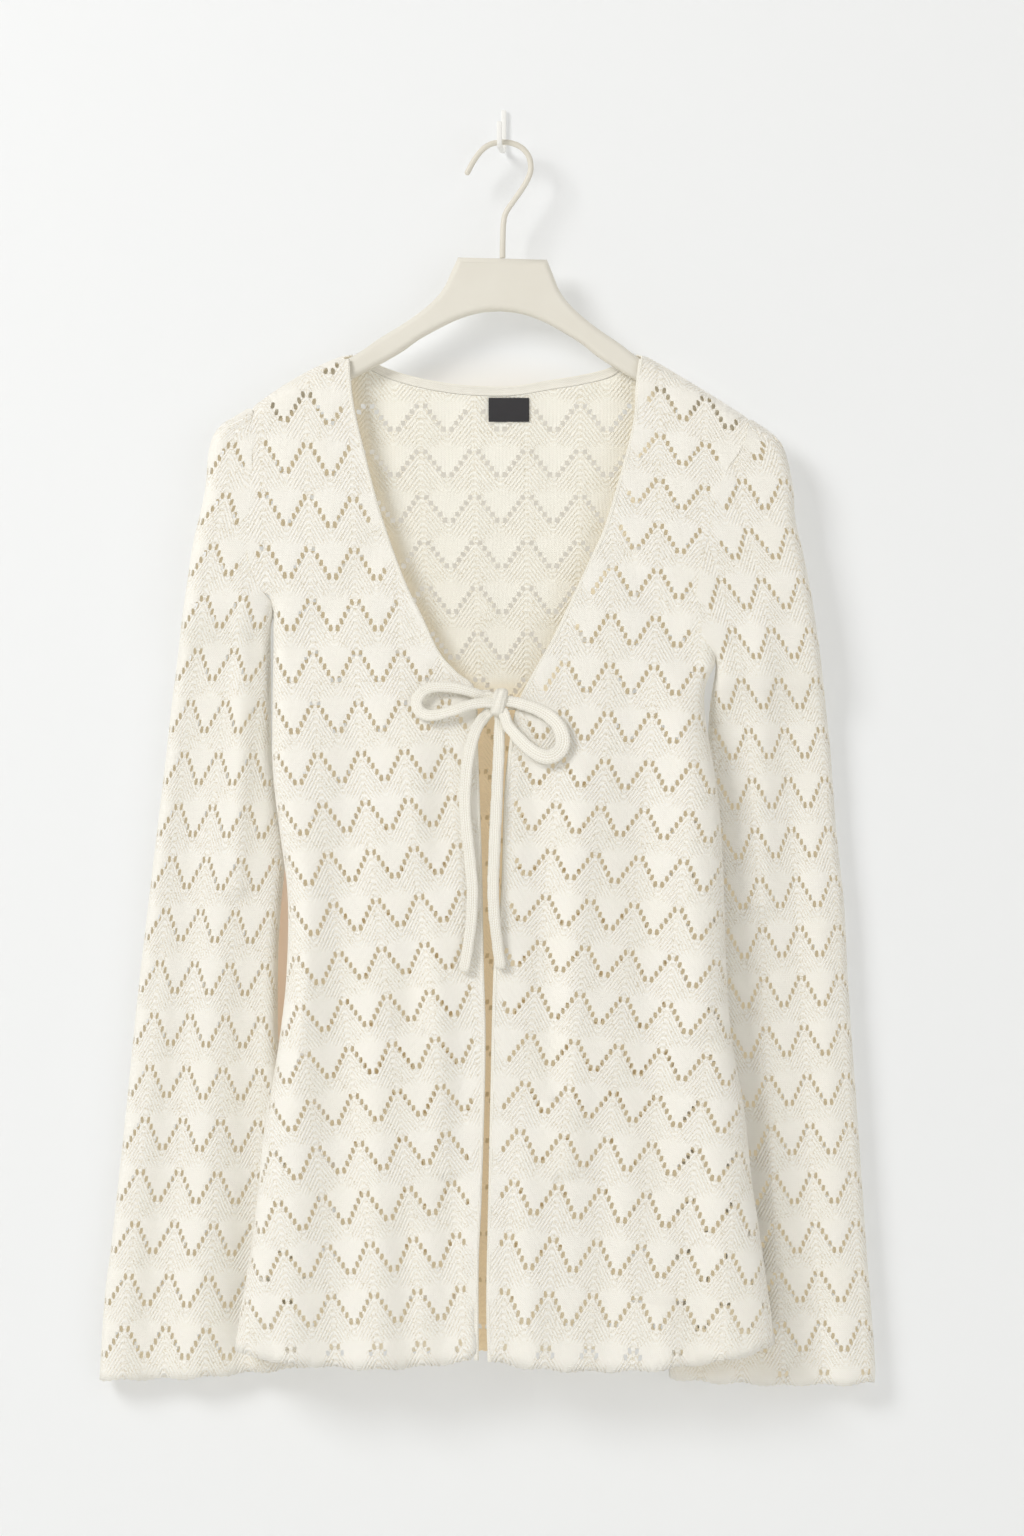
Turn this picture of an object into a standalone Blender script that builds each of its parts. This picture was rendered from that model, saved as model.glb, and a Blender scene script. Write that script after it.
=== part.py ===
# Open-front cardigan of fine pointelle knit, tied with a bow at the bust, on a flat hanger with a
# wire hook that hangs on a small wall hook.
# The script works in metres with +Z up. +X is the viewer's right and the front faces -Y. The wall is
# the plane y = 0, and the origin lies on the back face of the wall hook.
# All sizes and places below are in millimetres and are turned to metres by MM where they are used.

import bmesh
import bpy
import math
from mathutils import Matrix, Vector

MM = 0.001

# Cloth
WALL = 1.6  # thickness of the knitted cloth
SEAM = 0.3  # half of the gap left between two pieces at a seam
SHOULDER_HALF = 8.6  # half depth of the cloth where it lies over the hanger
ARMPIT_LEVEL = -352  # height from which the body grows deeper
ARMHOLE_GAP = 1.25  # between the middle of the body's edge and the middle of the sleeve's
ARMPIT_GAP = 2.6  # more of it at the armpit, where both turn
ARMPIT_REACH = 34.0  # along the armhole, over which that fades
BAND_WIDTH = 3.0  # rolled band along the opening edges
BAND_GAP = 0.3  # between a band and the cloth it edges
BACK_BAND_HEIGHT = 6.3  # plain band along the back of the neck
BACK_BAND_WALL = 2.0
LABEL_SIZE = (27.0, 0.8, 16.0)
LABEL_CENTRE = (3.2, -186.2)  # x and z
CLEARANCE = 0.3  # between a piece and what it lies on

# Hanger and hooks
HANGER_Y = -24.0  # middle plane of the hanger, in front of the wall
HANGER_X = -1.0  # its line of symmetry
HANGER_THICK = 11.4
HANGER_TILT = 1.5  # degrees, the right arm lower
HANGER_EDGE = 4.0  # radius along the hanger's edges
WIRE_THICK = 3.8
STRIP_THICK = 2.4  # wall hook's strip
STRIP_WIDTH = 3.2
STRIP_LEAN = 0.1  # the prong stands this far to the left for each millimetre from the wall

# Ties
TIE_WIDTH = 8.4
TIE_FLATNESS = 0.42  # thickness of a tie over its width
STUB_WIDTH = 4.4
KNOT_SIZE = (11.0, 12.0, 18.0)
KNOT_CENTRE = (-3.2, -43.0, -381.0)

# Grid sizes
BODY_ROWS = 12  # rows from hem to armpit
ARMPIT_ROW = 0.962  # share of one more row, just below the armpit
ARMHOLE_ROWS = 7  # rows from armpit to shoulder, without those of the turn over the edge
FRONT_COLUMNS = 9
SHOULDER_COLUMNS = 4
SLEEVE_RINGS = 19
SLEEVE_COLUMNS = 6
NECK_INSET = 0.2  # share of a row from the side to the columns that end at a neck point
BAND_SKIP = 3  # neck points at each end that the back neck band leaves free
BAND_END_SHARE = 0.4  # height of the back neck band at its ends
SLOPE_STEP = 2.0  # each way along an edge, for reading its direction

# Turns of the cloth round an edge, as angles of a quarter circle
TURN = [math.radians(a) for a in (0, 14, 50, 90)]

# Side edges of the body from hem to armpit, as x and z
SIDE_LEFT = [
    (-177.5, -806), (-167.6, -749), (-162.4, -709), (-157.7, -663), (-150.5, -622), (-144, -573),
    (-142, -530), (-143, -500), (-147.8, -465), (-152.2, -425), (-152.6, -380), (-153, -318),
]
SIDE_RIGHT = [
    (178.2, -802), (172.3, -760), (167.6, -727), (163, -696), (158, -650), (149.2, -598),
    (146, -550), (144.6, -500), (141.9, -452), (137, -418), (132.5, -390), (133, -370), (140.5, -352),
]
# Armholes from armpit to shoulder point
ARMHOLE_LEFT = [
    (-153, -318), (-161, -306), (-168, -290), (-169.6, -275), (-168.5, -250), (-167, -227),
    (-167, -205), (-166.3, -185.5),
]
ARMHOLE_RIGHT = [
    (140.5, -352), (134, -340), (129, -325), (128, -305), (136, -265), (145, -232), (155, -216),
    (160.5, -205), (161.7, -193),
]
# Opening edges from hem to the row of the armpit, and from there up the V to the neck point
OPENING_LEFT = [
    (-16.5, -813), (-16.5, -750), (-14.5, -703), (-12, -610), (-13.2, -551), (-14.5, -485),
    (-17.2, -406), (-17.6, -384), (-21, -369), (-31, -361), (-43, -347),
]
OPENING_RIGHT = [
    (-10.6, -814), (-11.6, -775), (-10.4, -710), (-9, -643), (-6.6, -551), (-2, -507), (0, -445),
    (2.6, -416), (6, -393), (11, -377), (21, -358),
]
NECK_LEFT = [
    (-43, -347), (-54, -324), (-64, -304), (-74, -278), (-84, -247), (-91.7, -217), (-98.3, -189),
    (-101, -170), (-102.3, -150),
]
NECK_RIGHT = [
    (21, -358), (31, -340.6), (43, -316), (56, -288), (66, -266), (74, -240), (82.5, -209),
    (86.3, -189), (87, -171.6), (89.8, -149.4),
]
# Edge of the back panel under the neck band, from the left neck point to the right one:
# x, z, and how far the edge has turned to the back (0 at the seam, 1 at the back)
NECK_BACK = [
    (-102.3, -150, 0), (-101.9, -150, 0.45), (-100.8, -150.2, 0.85), (-98.4, -152.2, 1),
    (-92, -158, 1), (-76.6, -165.5, 1), (-58, -171, 1), (-37, -175, 1), (-16.5, -176.8, 1),
    (6.6, -176.8, 1), (31, -172.8, 1), (50, -169.8, 1), (69.3, -165, 1), (80, -158, 1),
    (86, -151.6, 1), (88.3, -149.6, 0.85), (89.4, -149.4, 0.45), (89.8, -149.4, 0),
]

# Outer edges of the sleeves from shoulder point to cuff, and inner ones from armpit to cuff
SLEEVE_OUT_LEFT = [
    (-166.3, -185.5), (-177, -191), (-189, -199), (-195, -213), (-198, -242), (-205.5, -275),
    (-210.5, -308), (-214, -332), (-220.5, -380), (-225, -420), (-234.5, -499), (-243.8, -579),
    (-251.8, -658), (-260.5, -737), (-265.5, -777), (-269, -831),
]
SLEEVE_IN_LEFT = [
    (-153, -318), (-155.6, -334), (-155.8, -380), (-155.2, -416), (-151.4, -450), (-147.2, -472),
    (-146.6, -488), (-149.4, -519), (-151, -548), (-151.2, -598), (-149, -628), (-145, -665),
    (-139.5, -710), (-131, -777), (-124.5, -821),
]
SLEEVE_OUT_RIGHT = [
    (161.7, -193), (177.5, -203), (185.5, -214), (191, -237), (192.6, -259), (198, -283),
    (203, -308), (208, -341), (214.5, -391), (217, -415), (221, -468), (226, -515), (229, -573),
    (235, -658), (241, -745), (246.4, -815), (246.6, -833),
]
SLEEVE_IN_RIGHT = [
    (140.5, -352), (140.8, -360), (139.4, -370), (138, -380), (137, -392), (136, -404), (131, -424),
    (127, -456), (124, -512), (121.5, -578), (119, -643), (116, -709), (112.5, -775), (110, -830),
]
# An inner edge falls behind the outer one by this power, so that the rings soon lie level
RING_LAG = 1.5

SIDES = {"left": SIDE_LEFT, "right": SIDE_RIGHT}
ARMHOLES = {"left": ARMHOLE_LEFT, "right": ARMHOLE_RIGHT}
OPENINGS = {"left": OPENING_LEFT, "right": OPENING_RIGHT}
NECKS = {"left": NECK_LEFT, "right": NECK_RIGHT}
SLEEVES_OUT = {"left": SLEEVE_OUT_LEFT, "right": SLEEVE_OUT_RIGHT}
SLEEVES_IN = {"left": SLEEVE_IN_LEFT, "right": SLEEVE_IN_RIGHT}

# Depth of the body by the drop below the armpit level: drop, y of the side seam, half depth to the
# front and to the back
BODY_DEPTH = [
    (-400, -24, 8.6, 8.6), (0, -24, 8.6, 8.6), (15, -26, 9.2, 8.4), (35, -30, 10.2, 8),
    (60, -33, 12, 9), (110, -34, 13.5, 9.5), (250, -35, 15, 10), (490, -37, 16, 11.5),
]
# Depth of a sleeve by the drop of its ring's inner end below the armpit: drop, y of the middle,
# half depth
SLEEVE_DEPTH = [
    (-400, -24, 8.6), (0, -24, 8.6), (12, -21.5, 8.4), (28, -15, 7.8), (42, -12.4, 7.4),
    (90, -11.4, 7.2), (500, -11.2, 7.4),
]
# Sag of the middle of a row by the share of the way from hem to armpit: share, sag
ROW_SAG = [(0, -10), (0.12, -5), (0.3, 0), (1, 0)]
SAG_SHARE = {"left": 0.9, "right": 1.2, "back": 0.8}
# Rise of the middle of the shoulder seam over a straight line
SHOULDER_RISE = {"left": 3.6, "right": 0.8}
BACK_HEM_RISE = 5.0
BACK_HEM_SHARE = 0.2  # share of the way from hem to armpit over which that fades
CUFF_SAG = -3.0
CUFF_SHARE = 0.15  # share of a sleeve over which its rings come to that sag
ARMHOLE_REACH = 0.25  # share of a sleeve over which its rings keep the armhole's curve
ARMHOLE_FADE = 1.5  # power by which they lose it

# Folds fade near the side folds, below the shoulder seams, at a sleeve's folds and at the armhole
FADE_SIDE = 14.0
FADE_TOP = 30.0
FADE_SLEEVE = 12.0
FADE_ARMHOLE = 1 / 12  # share of a sleeve
# A fold comes to its full depth over a share of its length, and runs on past its lower end
FOLD_RISE = 0.31
FOLD_END = 1.2
# Main folds: x and z of the upper end, x and z of the lower end, half width, depth (to the front)
FOLDS_FRONT = [
    (-30, -372, -58, -560, 12, -4.0),
    (-62, -380, -40, -640, 11, 3.4),
    (-100, -330, -110, -760, 16, -4.2),
    (-128, -430, -140, -825, 13, 4.0),
    (-84, -560, -82, -830, 12, 3.2),
    (-26, -560, -40, -830, 10, -3.6),
    (-66, -700, -62, -830, 9, -3.4),
    (-70, -262, -120, -330, 12, -1.6),
    (16, -385, 30, -600, 11, -3.8),
    (52, -375, 44, -640, 12, 3.4),
    (84, -330, 100, -700, 15, -4.4),
    (118, -350, 128, -560, 12, 3.0),
    (12, -640, 20, -830, 10, 3.2),
    (62, -620, 66, -830, 13, -3.8),
    (134, -600, 150, -825, 13, 3.8),
    (104, -690, 108, -830, 10, 3.2),
    (60, -262, 118, -345, 12, -1.6),
]
FOLDS_BACK = [
    (-120, -330, -134, -815, 14, -3.0),
    (-84, -300, -92, -815, 15, 3.4),
    (-40, -420, -48, -815, 14, -3.0),
    (6, -380, 2, -815, 15, 3.2),
    (52, -430, 58, -815, 13, -3.0),
    (96, -320, 112, -815, 15, 3.2),
]
FOLDS_SLEEVE_FRONT = [
    (-172, -285, -176, -470, 7, 3.8),
    (-196, -300, -236, -835, 12, -3.0),
    (-182, -400, -206, -835, 11, 3.0),
    (-168, -520, -176, -835, 10, -3.2),
    (-150, -600, -146, -835, 9, 2.6),
    (-214, -480, -256, -835, 9, 2.6),
    (170, -290, 172, -480, 9, 3.2),
    (188, -330, 204, -835, 12, -3.0),
    (204, -420, 228, -835, 10, 2.6),
    (162, -480, 164, -835, 12, -3.0),
    (178, -620, 184, -835, 9, 2.8),
    (136, -560, 138, -835, 9, 2.6),
]
FOLDS_SLEEVE_BACK = [
    (-190, -300, -222, -835, 14, 2.6),
    (-164, -420, -188, -835, 12, -2.4),
    (-150, -560, -154, -835, 10, 2.4),
    (184, -300, 220, -835, 13, 2.6),
    (160, -430, 180, -835, 12, -2.4),
    (140, -560, 148, -835, 10, 2.4),
]

# Half outline of the hanger from its line of symmetry: distance from that line and z
HANGER_TOP = [
    (29.5, -86.7), (33.5, -96), (37.8, -106), (43.5, -114), (53, -123), (66, -132.6), (80, -141.6),
    (91, -149.8), (101.3, -156.2), (110, -161.4), (123, -168.2), (141, -177.6), (157, -187.4),
    (162.5, -192.5), (164.5, -197),
]
HANGER_UNDER = [
    (164, -203), (160, -205.5), (149, -199), (120, -181), (100, -170.5), (68, -152), (54.5, -142),
    (41, -134), (27, -127), (13, -122.7), (0, -121.4),
]
# Middle line of the hanger's wire hook, x and z
WIRE_LINE = [
    (-1, -86.2), (-0.8, -74), (-0.3, -62.7), (1.6, -55.4), (7.9, -46.2), (14.3, -36.6),
    (17.6, -28.4), (16.8, -19.8), (12.2, -13.4), (5.3, -10), (-2.2, -9.4), (-9.2, -10.8),
    (-15, -15), (-20, -21.6), (-24.4, -29.7),
]
# Middle line of the wall hook's strip, y and z
STRIP_LINE = [
    (-1.2, 15.6), (-1.2, 4), (-1.2, -7), (-2.6, -10.8), (-6.4, -12.8), (-24, -12.8),
    (-28.4, -11.4), (-30.6, -7.4), (-31, 3.4),
]

# Routes of the ties, each as x, y and z
LOOP_LEFT = [
    (-9.3, -41.8, -377.4), (-13.4, -41.8, -377.3), (-20, -42.6, -375), (-28.6, -43.2, -372.4),
    (-38, -43.6, -371), (-47, -44, -371.4), (-54, -44.8, -374.8), (-57.4, -45.8, -380.8),
    (-55.4, -46.8, -387), (-49, -47.4, -389.8), (-41, -47.8, -388.8), (-32, -47.8, -386.2),
    (-22.6, -47.2, -383), (-14, -46.6, -381.5), (-9.3, -46.6, -381.4),
]
LOOP_RIGHT = [
    (3, -44, -381), (6.8, -44.1, -381.1), (11.4, -44.7, -382.2), (20, -45.2, -385),
    (29, -46, -389.8), (35.8, -47.4, -396.6), (38.8, -49.4, -405), (36.6, -50.8, -413),
    (29.4, -51.4, -417), (21, -51.2, -414.6), (13.6, -50.4, -409), (7.6, -49.2, -402.4),
    (3.4, -47.6, -397.4), (2.2, -47, -394), (2.2, -47, -390.9),
]
TAIL_LEFT = [
    (-10.1, -42.6, -388), (-12.3, -42.8, -390.1), (-15.2, -45.8, -393.8), (-17.8, -47.8, -398.2),
    (-20.6, -49.2, -406), (-22.8, -50.6, -416), (-24.8, -51.6, -431), (-25.6, -52.2, -447),
    (-24.4, -52.6, -464), (-22.4, -53, -482), (-20.8, -53.4, -499), (-20.6, -53.7, -514),
    (-21.8, -54, -530), (-24, -54.3, -545), (-26.4, -54.6, -558),
]
TAIL_RIGHT = [
    (-2.6, -41.8, -390.6), (-2.6, -41.9, -394), (-3, -44, -403), (-3.5, -47, -416),
    (-4.1, -49.4, -431), (-4.8, -51, -446), (-5.5, -52, -461), (-6.2, -52.6, -477),
    (-6.8, -53.1, -492), (-7, -53.6, -507), (-6.2, -54, -522), (-4.4, -54.3, -538),
    (-2, -54.6, -556),
]
STUB_LEFT = [(-18.4, -38.4, -374.8), (-15, -38.4, -375), (-12, -38.4, -375), (-9.1, -38.4, -375)]
STUB_RIGHT = [(8.3, -38.6, -384), (6.4, -38.6, -384), (4.6, -38.6, -384), (2.7, -38.6, -384)]


def between(table, key, column):
    """Value of a column of a table at a key, in a straight line between its rows."""
    if key <= table[0][0]:
        return table[0][column]
    for low, high in zip(table, table[1:]):
        if key <= high[0]:
            share = (key - low[0]) / (high[0] - low[0])
            return low[column] + (high[column] - low[column]) * share
    return table[-1][column]


def smooth(points, steps=12):
    """A smooth line through points, with a few steps between each two of them."""
    points = [Vector(p) for p in points]
    ends = [2 * points[0] - points[1]] + points + [2 * points[-1] - points[-2]]
    line = []
    for a, b, c, d in zip(ends, ends[1:], ends[2:], ends[3:]):
        for k in range(steps):
            t = k / steps
            second = 2 * a - 5 * b + 4 * c - d
            third = 3 * b - a - 3 * c + d
            line.append(0.5 * (2 * b + (c - a) * t + second * t * t + third * t ** 3))
    return line + [points[-1]]


class Line:
    """A smooth line that is read by the distance along it."""

    def __init__(self, points):
        self.points = smooth(points)
        self.marks = [0.0]
        for a, b in zip(self.points, self.points[1:]):
            self.marks.append(self.marks[-1] + (b - a).length)
        self.length = self.marks[-1]

    def at(self, distance):
        distance = min(max(distance, 0.0), self.length)
        for i, (a, b) in enumerate(zip(self.marks, self.marks[1:])):
            if distance <= b:
                return self.points[i].lerp(self.points[i + 1], (distance - a) / (b - a))
        return self.points[-1].copy()


def fold_depth(folds, x, z):
    """Sum of the folds at a place: each is a soft ridge or trough along a line, fading at its top."""
    depth = 0.0
    for x0, z0, x1, z1, width, height in folds:
        along = (z0 - z) / (z0 - z1)
        if 0 < along < FOLD_END:
            across = (x - (x0 + (x1 - x0) * along)) / width
            fade = min(1.0, along / FOLD_RISE)
            depth += height * fade * fade * (3 - 2 * fade) * math.exp(-across * across)
    return depth


def spread(length, start, end, count):
    """Distances along a row: those of the turn at its start and at its end, where these have a
    radius, and count even steps between them."""
    first = [start * (1 - math.cos(a)) for a in TURN[:-1]] if start else []
    last = [length - end * (1 - math.cos(a)) for a in reversed(TURN[:-1])] if end else []
    middle = [start + (length - start - end) * i / count for i in range(count + 1)]
    return first + middle + last


def turn(distance, radius):
    """Share of the full depth at a distance from an edge round which the cloth turns."""
    if distance >= radius:
        return 1.0
    return math.sqrt(max(0.0, 1 - (1 - max(distance, 0.0) / radius) ** 2))


def body_rows(side):
    """Rows of one side of the body from hem to shoulder: the outer point, the share of the way from
    hem to armpit, the share from armpit to shoulder, and how far the armhole is open there."""
    seam, armhole = Line(SIDES[side]), Line(ARMHOLES[side])
    rows = []
    for share in [i / BODY_ROWS for i in range(BODY_ROWS)] + [ARMPIT_ROW]:
        rows.append((seam.at(share * seam.length), share, 0.0, armhole.length, 0.0))
    marks = spread(armhole.length, SHOULDER_HALF, SHOULDER_HALF, ARMHOLE_ROWS)
    for distance in marks[:1] + marks[2:]:
        rows.append((armhole.at(distance), 1.0, distance / armhole.length,
                     armhole.length - distance, turn(distance, SHOULDER_HALF)))
    return rows


def body_y(x, z, side_turn, top_turn, front, fade=1.0):
    """y of the middle of the body's wall at x and z. side_turn and top_turn say how far the cloth
    has turned round the side seam and the shoulder seam there."""
    drop = ARMPIT_LEVEL - z
    seam_y = between(BODY_DEPTH, drop, 1)
    half = between(BODY_DEPTH, drop, 2 if front else 3)
    full = side_turn * top_turn
    away = half * full + SEAM * (1 - full)
    folds = fold_depth(FOLDS_FRONT if front else FOLDS_BACK, x, z) * fade * full
    return seam_y - away - folds if front else seam_y + away - folds


def wall_object(name, points, collection, wall=WALL, closed=False):
    """A wall whose middle runs through rows of points. Closed, each row ends where it starts."""
    rows, columns = len(points), len(points[0])
    mesh = bmesh.new()
    bmesh.ops.create_grid(mesh, x_segments=columns - 1, y_segments=rows - 1, size=1.0)
    for vert in mesh.verts:
        column = round((vert.co.x + 1) / 2 * (columns - 1))
        row = round((vert.co.y + 1) / 2 * (rows - 1))
        vert.co = Vector(points[row][column]) * MM
    if closed:
        bmesh.ops.remove_doubles(mesh, verts=mesh.verts, dist=0.00001)
    bmesh.ops.recalc_face_normals(mesh, faces=mesh.faces)
    data = bpy.data.meshes.new(name)
    mesh.to_mesh(data)
    mesh.free()
    data.shade_smooth()
    obj = bpy.data.objects.new(name, data)
    collection.objects.link(obj)
    thick = obj.modifiers.new("Wall", "SOLIDIFY")
    thick.thickness = wall * MM
    thick.offset = 0.0
    return obj


def front_points(side):
    """Points of a front panel row by row, and the middle line of the band on its opening edge."""
    opening, neck = Line(OPENINGS[side]), Line(NECKS[side])
    points, band = [], []
    for outer, low, high, top, opened in body_rows(side):
        line, place = (opening, low * opening.length) if low < 1 else (neck, high * neck.length)
        if top <= SHOULDER_HALF:
            place = neck.length - top
        edge = line.at(place)
        along = (line.at(place + SLOPE_STEP) - line.at(place - SLOPE_STEP)).normalized()
        inward = Vector((along.y, -along.x))
        if inward.dot(outer - edge) < 0:
            inward = -inward
        inner = edge + inward * (BAND_WIDTH + BAND_GAP)
        bow = between(ROW_SAG, low, 1) * SAG_SHARE[side] + SHOULDER_RISE[side] * high ** 3
        length = (inner - outer).length
        half = between(BODY_DEPTH, ARMPIT_LEVEL - outer.y, 2)
        row = []
        for distance in spread(length, half, 0, FRONT_COLUMNS):
            t = distance / length
            x, z = outer.lerp(inner, t)
            z += bow * 4 * t * (1 - t)
            side_turn = opened + (1 - opened) * turn(distance, half)
            fade = min(1.0, distance / FADE_SIDE, top / FADE_TOP)
            row.append((x, body_y(x, z, side_turn, turn(top, half), True, fade), z))
        points.append(row)
        centre = edge + inward * BAND_WIDTH / 2
        lift = (BAND_WIDTH - WALL) / 2
        turned = turn(top, half)
        band.append((centre.x, row[-1][1] - lift * turned, centre.y + lift * (1 - turned)))
    return points, band


def back_points():
    """Points of the back panel row by row, from side seam to side seam and up to the neck."""
    first, last = NECK_BACK[0], NECK_BACK[-1]
    points = []
    for left, right in zip(body_rows("left"), body_rows("right")):
        low, high = left[1], left[2]
        sag = between(ROW_SAG, low, 1) * SAG_SHARE["back"]
        lift = BACK_HEM_RISE * max(0.0, 1 - low / BACK_HEM_SHARE)
        blend = high * high
        neck = []
        for x, z, turned in NECK_BACK:
            share = (x - first[0]) / (last[0] - first[0])
            top = left[3] + (right[3] - left[3]) * share
            flat = left[0].lerp(right[0], NECK_INSET + (1 - 2 * NECK_INSET) * share)
            place = flat.lerp(Vector((x, z - top)), blend)
            neck.append((place.x, place.y, turned + (1 - turned) * turn(top, SHOULDER_HALF), top))
        line = []
        for side, row, end in (("left", left, neck[0]), ("right", right, neck[-1])):
            outer, inner = row[0], Vector(end[:2])
            length = (inner - outer).length
            half = between(BODY_DEPTH, ARMPIT_LEVEL - outer.y, 3)
            part = []
            for distance in spread(length, half, 0, SHOULDER_COLUMNS)[:-1]:
                t = distance / length
                x, z = outer.lerp(inner, t)
                z += SHOULDER_RISE[side] * high ** 3 * 4 * t * (1 - t)
                side_turn = row[4] + (1 - row[4]) * turn(distance, half)
                fade = min(1.0, distance / FADE_SIDE, row[3] / FADE_TOP)
                part.append((x, z, side_turn, turn(row[3], half), fade))
            if side == "left":
                line += part
                line += [(x, z, turned, 1.0, min(1.0, top / FADE_TOP)) for x, z, turned, top in neck]
            else:
                line += reversed(part)
        width = right[0].x - left[0].x
        row_points = []
        for x, z, side_turn, top_turn, fade in line:
            t = (x - left[0].x) / width
            z += lift + sag * 4 * t * (1 - t)
            row_points.append((x, body_y(x, z, side_turn, top_turn, False, fade), z))
        points.append(row_points)
    return points


def sleeve_points(side):
    """Points of a sleeve ring by ring from the armhole to the cuff. A ring runs down the front from
    the outer fold to the inner one, and back up behind."""
    outer_line, inner_line = Line(SLEEVES_OUT[side]), Line(SLEEVES_IN[side])
    armhole = Line(ARMHOLES[side])
    away = -1.0 if side == "left" else 1.0
    rings = []
    for i in range(SLEEVE_RINGS + 1):
        share = i / SLEEVE_RINGS
        outer = outer_line.at(share * outer_line.length)
        inner = inner_line.at(share ** RING_LAG * inner_line.length)
        drop = inner_line.points[0].y - inner.y
        middle, half = between(SLEEVE_DEPTH, drop, 1), between(SLEEVE_DEPTH, drop, 2)
        bend = max(0.0, 1 - share / ARMHOLE_REACH) ** ARMHOLE_FADE
        cuff = CUFF_SAG * max(0.0, 1 - (1 - share) / CUFF_SHARE)
        length = (inner - outer).length
        ring = {True: [], False: []}
        for distance in spread(length, half, half, SLEEVE_COLUMNS):
            t = distance / length
            place = outer.lerp(inner, t)
            mark = armhole.length * (1 - t)
            seam = armhole.at(mark)
            slope = (armhole.at(mark + SLOPE_STEP) - armhole.at(mark - SLOPE_STEP)).normalized()
            shift = ARMHOLE_GAP + ARMPIT_GAP * max(0.0, 1 - mark / ARMPIT_REACH)
            seam += Vector((slope.y, -slope.x)) * (shift if slope.y * away > 0 else -shift)
            place += (seam - outer_line.points[0].lerp(inner_line.points[0], t)) * bend
            place.y += cuff * 4 * t * (1 - t)
            nearest = min(distance, length - distance)
            full = turn(nearest, half)
            fade = min(1.0, nearest / FADE_SLEEVE, share / FADE_ARMHOLE) * full
            for front in (True, False):
                folds = fold_depth(FOLDS_SLEEVE_FRONT if front else FOLDS_SLEEVE_BACK, *place) * fade
                y = middle - half * full - folds if front else middle + half * full - folds
                ring[front].append((place.x, y, place.y))
        rings.append(ring[True] + ring[False][-2::-1])
    return rings


def neck_band_points(back):
    """Rows of the plain band that stands on the back panel's neck edge."""
    shoulder = (len(back[-1]) - len(NECK_BACK)) // 2
    edge = back[-1][shoulder + BAND_SKIP:-shoulder - BAND_SKIP]
    rows = []
    for share in (0.0, 0.5, 1.0):
        row = []
        for x, y, z in edge:
            end = (x, y, z) in (edge[0], edge[-1])
            height = (BACK_BAND_HEIGHT - CLEARANCE) * (BAND_END_SHARE if end else 1.0)
            row.append((x, y, z + CLEARANCE + height * share))
        rows.append(row)
    return rows


def tube(name, route, width, collection, flatness=1.0, sides=2, steps=3):
    """A round or flattened tube along a smooth route. A flattened one is thin from front to back."""
    curve = bpy.data.curves.new(name, "CURVE")
    curve.dimensions = "3D"
    curve.bevel_depth = width / 2 * MM
    curve.bevel_resolution = sides
    curve.use_fill_caps = True
    line = smooth(route, steps)
    spline = curve.splines.new("POLY")
    spline.points.add(len(line) - 1)
    for point, place in zip(spline.points, line):
        point.co = (place.x * MM, place.y / flatness * MM, place.z * MM, 1.0)
    obj = bpy.data.objects.new(name, curve)
    obj.scale = (1.0, flatness, 1.0)
    collection.objects.link(obj)
    return obj


def flat_curve(name, outline, thick, edge, collection):
    """A closed outline, filled and given a thickness, with rounded edges."""
    curve = bpy.data.curves.new(name, "CURVE")
    curve.dimensions = "2D"
    curve.fill_mode = "BOTH"
    curve.extrude = (thick / 2 - edge) * MM
    curve.bevel_depth = edge * MM
    curve.bevel_resolution = 1
    curve.offset = -edge * MM
    spline = curve.splines.new("POLY")
    spline.points.add(len(outline) - 1)
    for point, (u, v) in zip(spline.points, outline):
        point.co = (u * MM, v * MM, 0.0, 1.0)
    spline.use_cyclic_u = True
    obj = bpy.data.objects.new(name, curve)
    collection.objects.link(obj)
    return obj


def hanger_body(collection):
    half = HANGER_TOP + HANGER_UNDER
    outline = [(x, z - HANGER_TOP[0][1]) for x, z in half]
    outline += [(-x, z - HANGER_TOP[0][1]) for x, z in reversed(half[:-1])]
    obj = flat_curve("hanger_body", outline, HANGER_THICK, HANGER_EDGE, collection)
    upright = Matrix.Rotation(math.radians(90), 4, "X")
    tilt = Matrix.Rotation(math.radians(HANGER_TILT), 4, "Y")
    pivot = Vector((HANGER_X, HANGER_Y, HANGER_TOP[0][1])) * MM
    obj.matrix_world = Matrix.Translation(pivot) @ tilt @ upright
    return obj


def wall_hook(collection):
    """A flat strip bent to a J. Its prong leans a little to the left."""
    line = smooth(STRIP_LINE, 2)
    left, right = [], []
    for i, place in enumerate(line):
        along = (line[min(i + 1, len(line) - 1)] - line[max(i - 1, 0)]).normalized()
        side = Vector((-along.y, along.x)) * STRIP_THICK / 2
        left.append(place + side)
        right.append(place - side)
    mesh = bmesh.new()
    ring = [mesh.verts.new((-STRIP_WIDTH / 2 * MM, p.x * MM, p.y * MM)) for p in left + right[::-1]]
    face = mesh.faces.new(ring)
    moved = bmesh.ops.extrude_face_region(mesh, geom=[face])["geom"]
    verts = [v for v in moved if isinstance(v, bmesh.types.BMVert)]
    bmesh.ops.translate(mesh, vec=(STRIP_WIDTH * MM, 0, 0), verts=verts)
    for vert in mesh.verts:
        vert.co.x += vert.co.y * STRIP_LEAN
        vert.co.y = min(vert.co.y, 0.0)
    bmesh.ops.recalc_face_normals(mesh, faces=mesh.faces)
    data = bpy.data.meshes.new("wall_hook")
    mesh.to_mesh(data)
    mesh.free()
    obj = bpy.data.objects.new("wall_hook", data)
    collection.objects.link(obj)
    return obj


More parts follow.
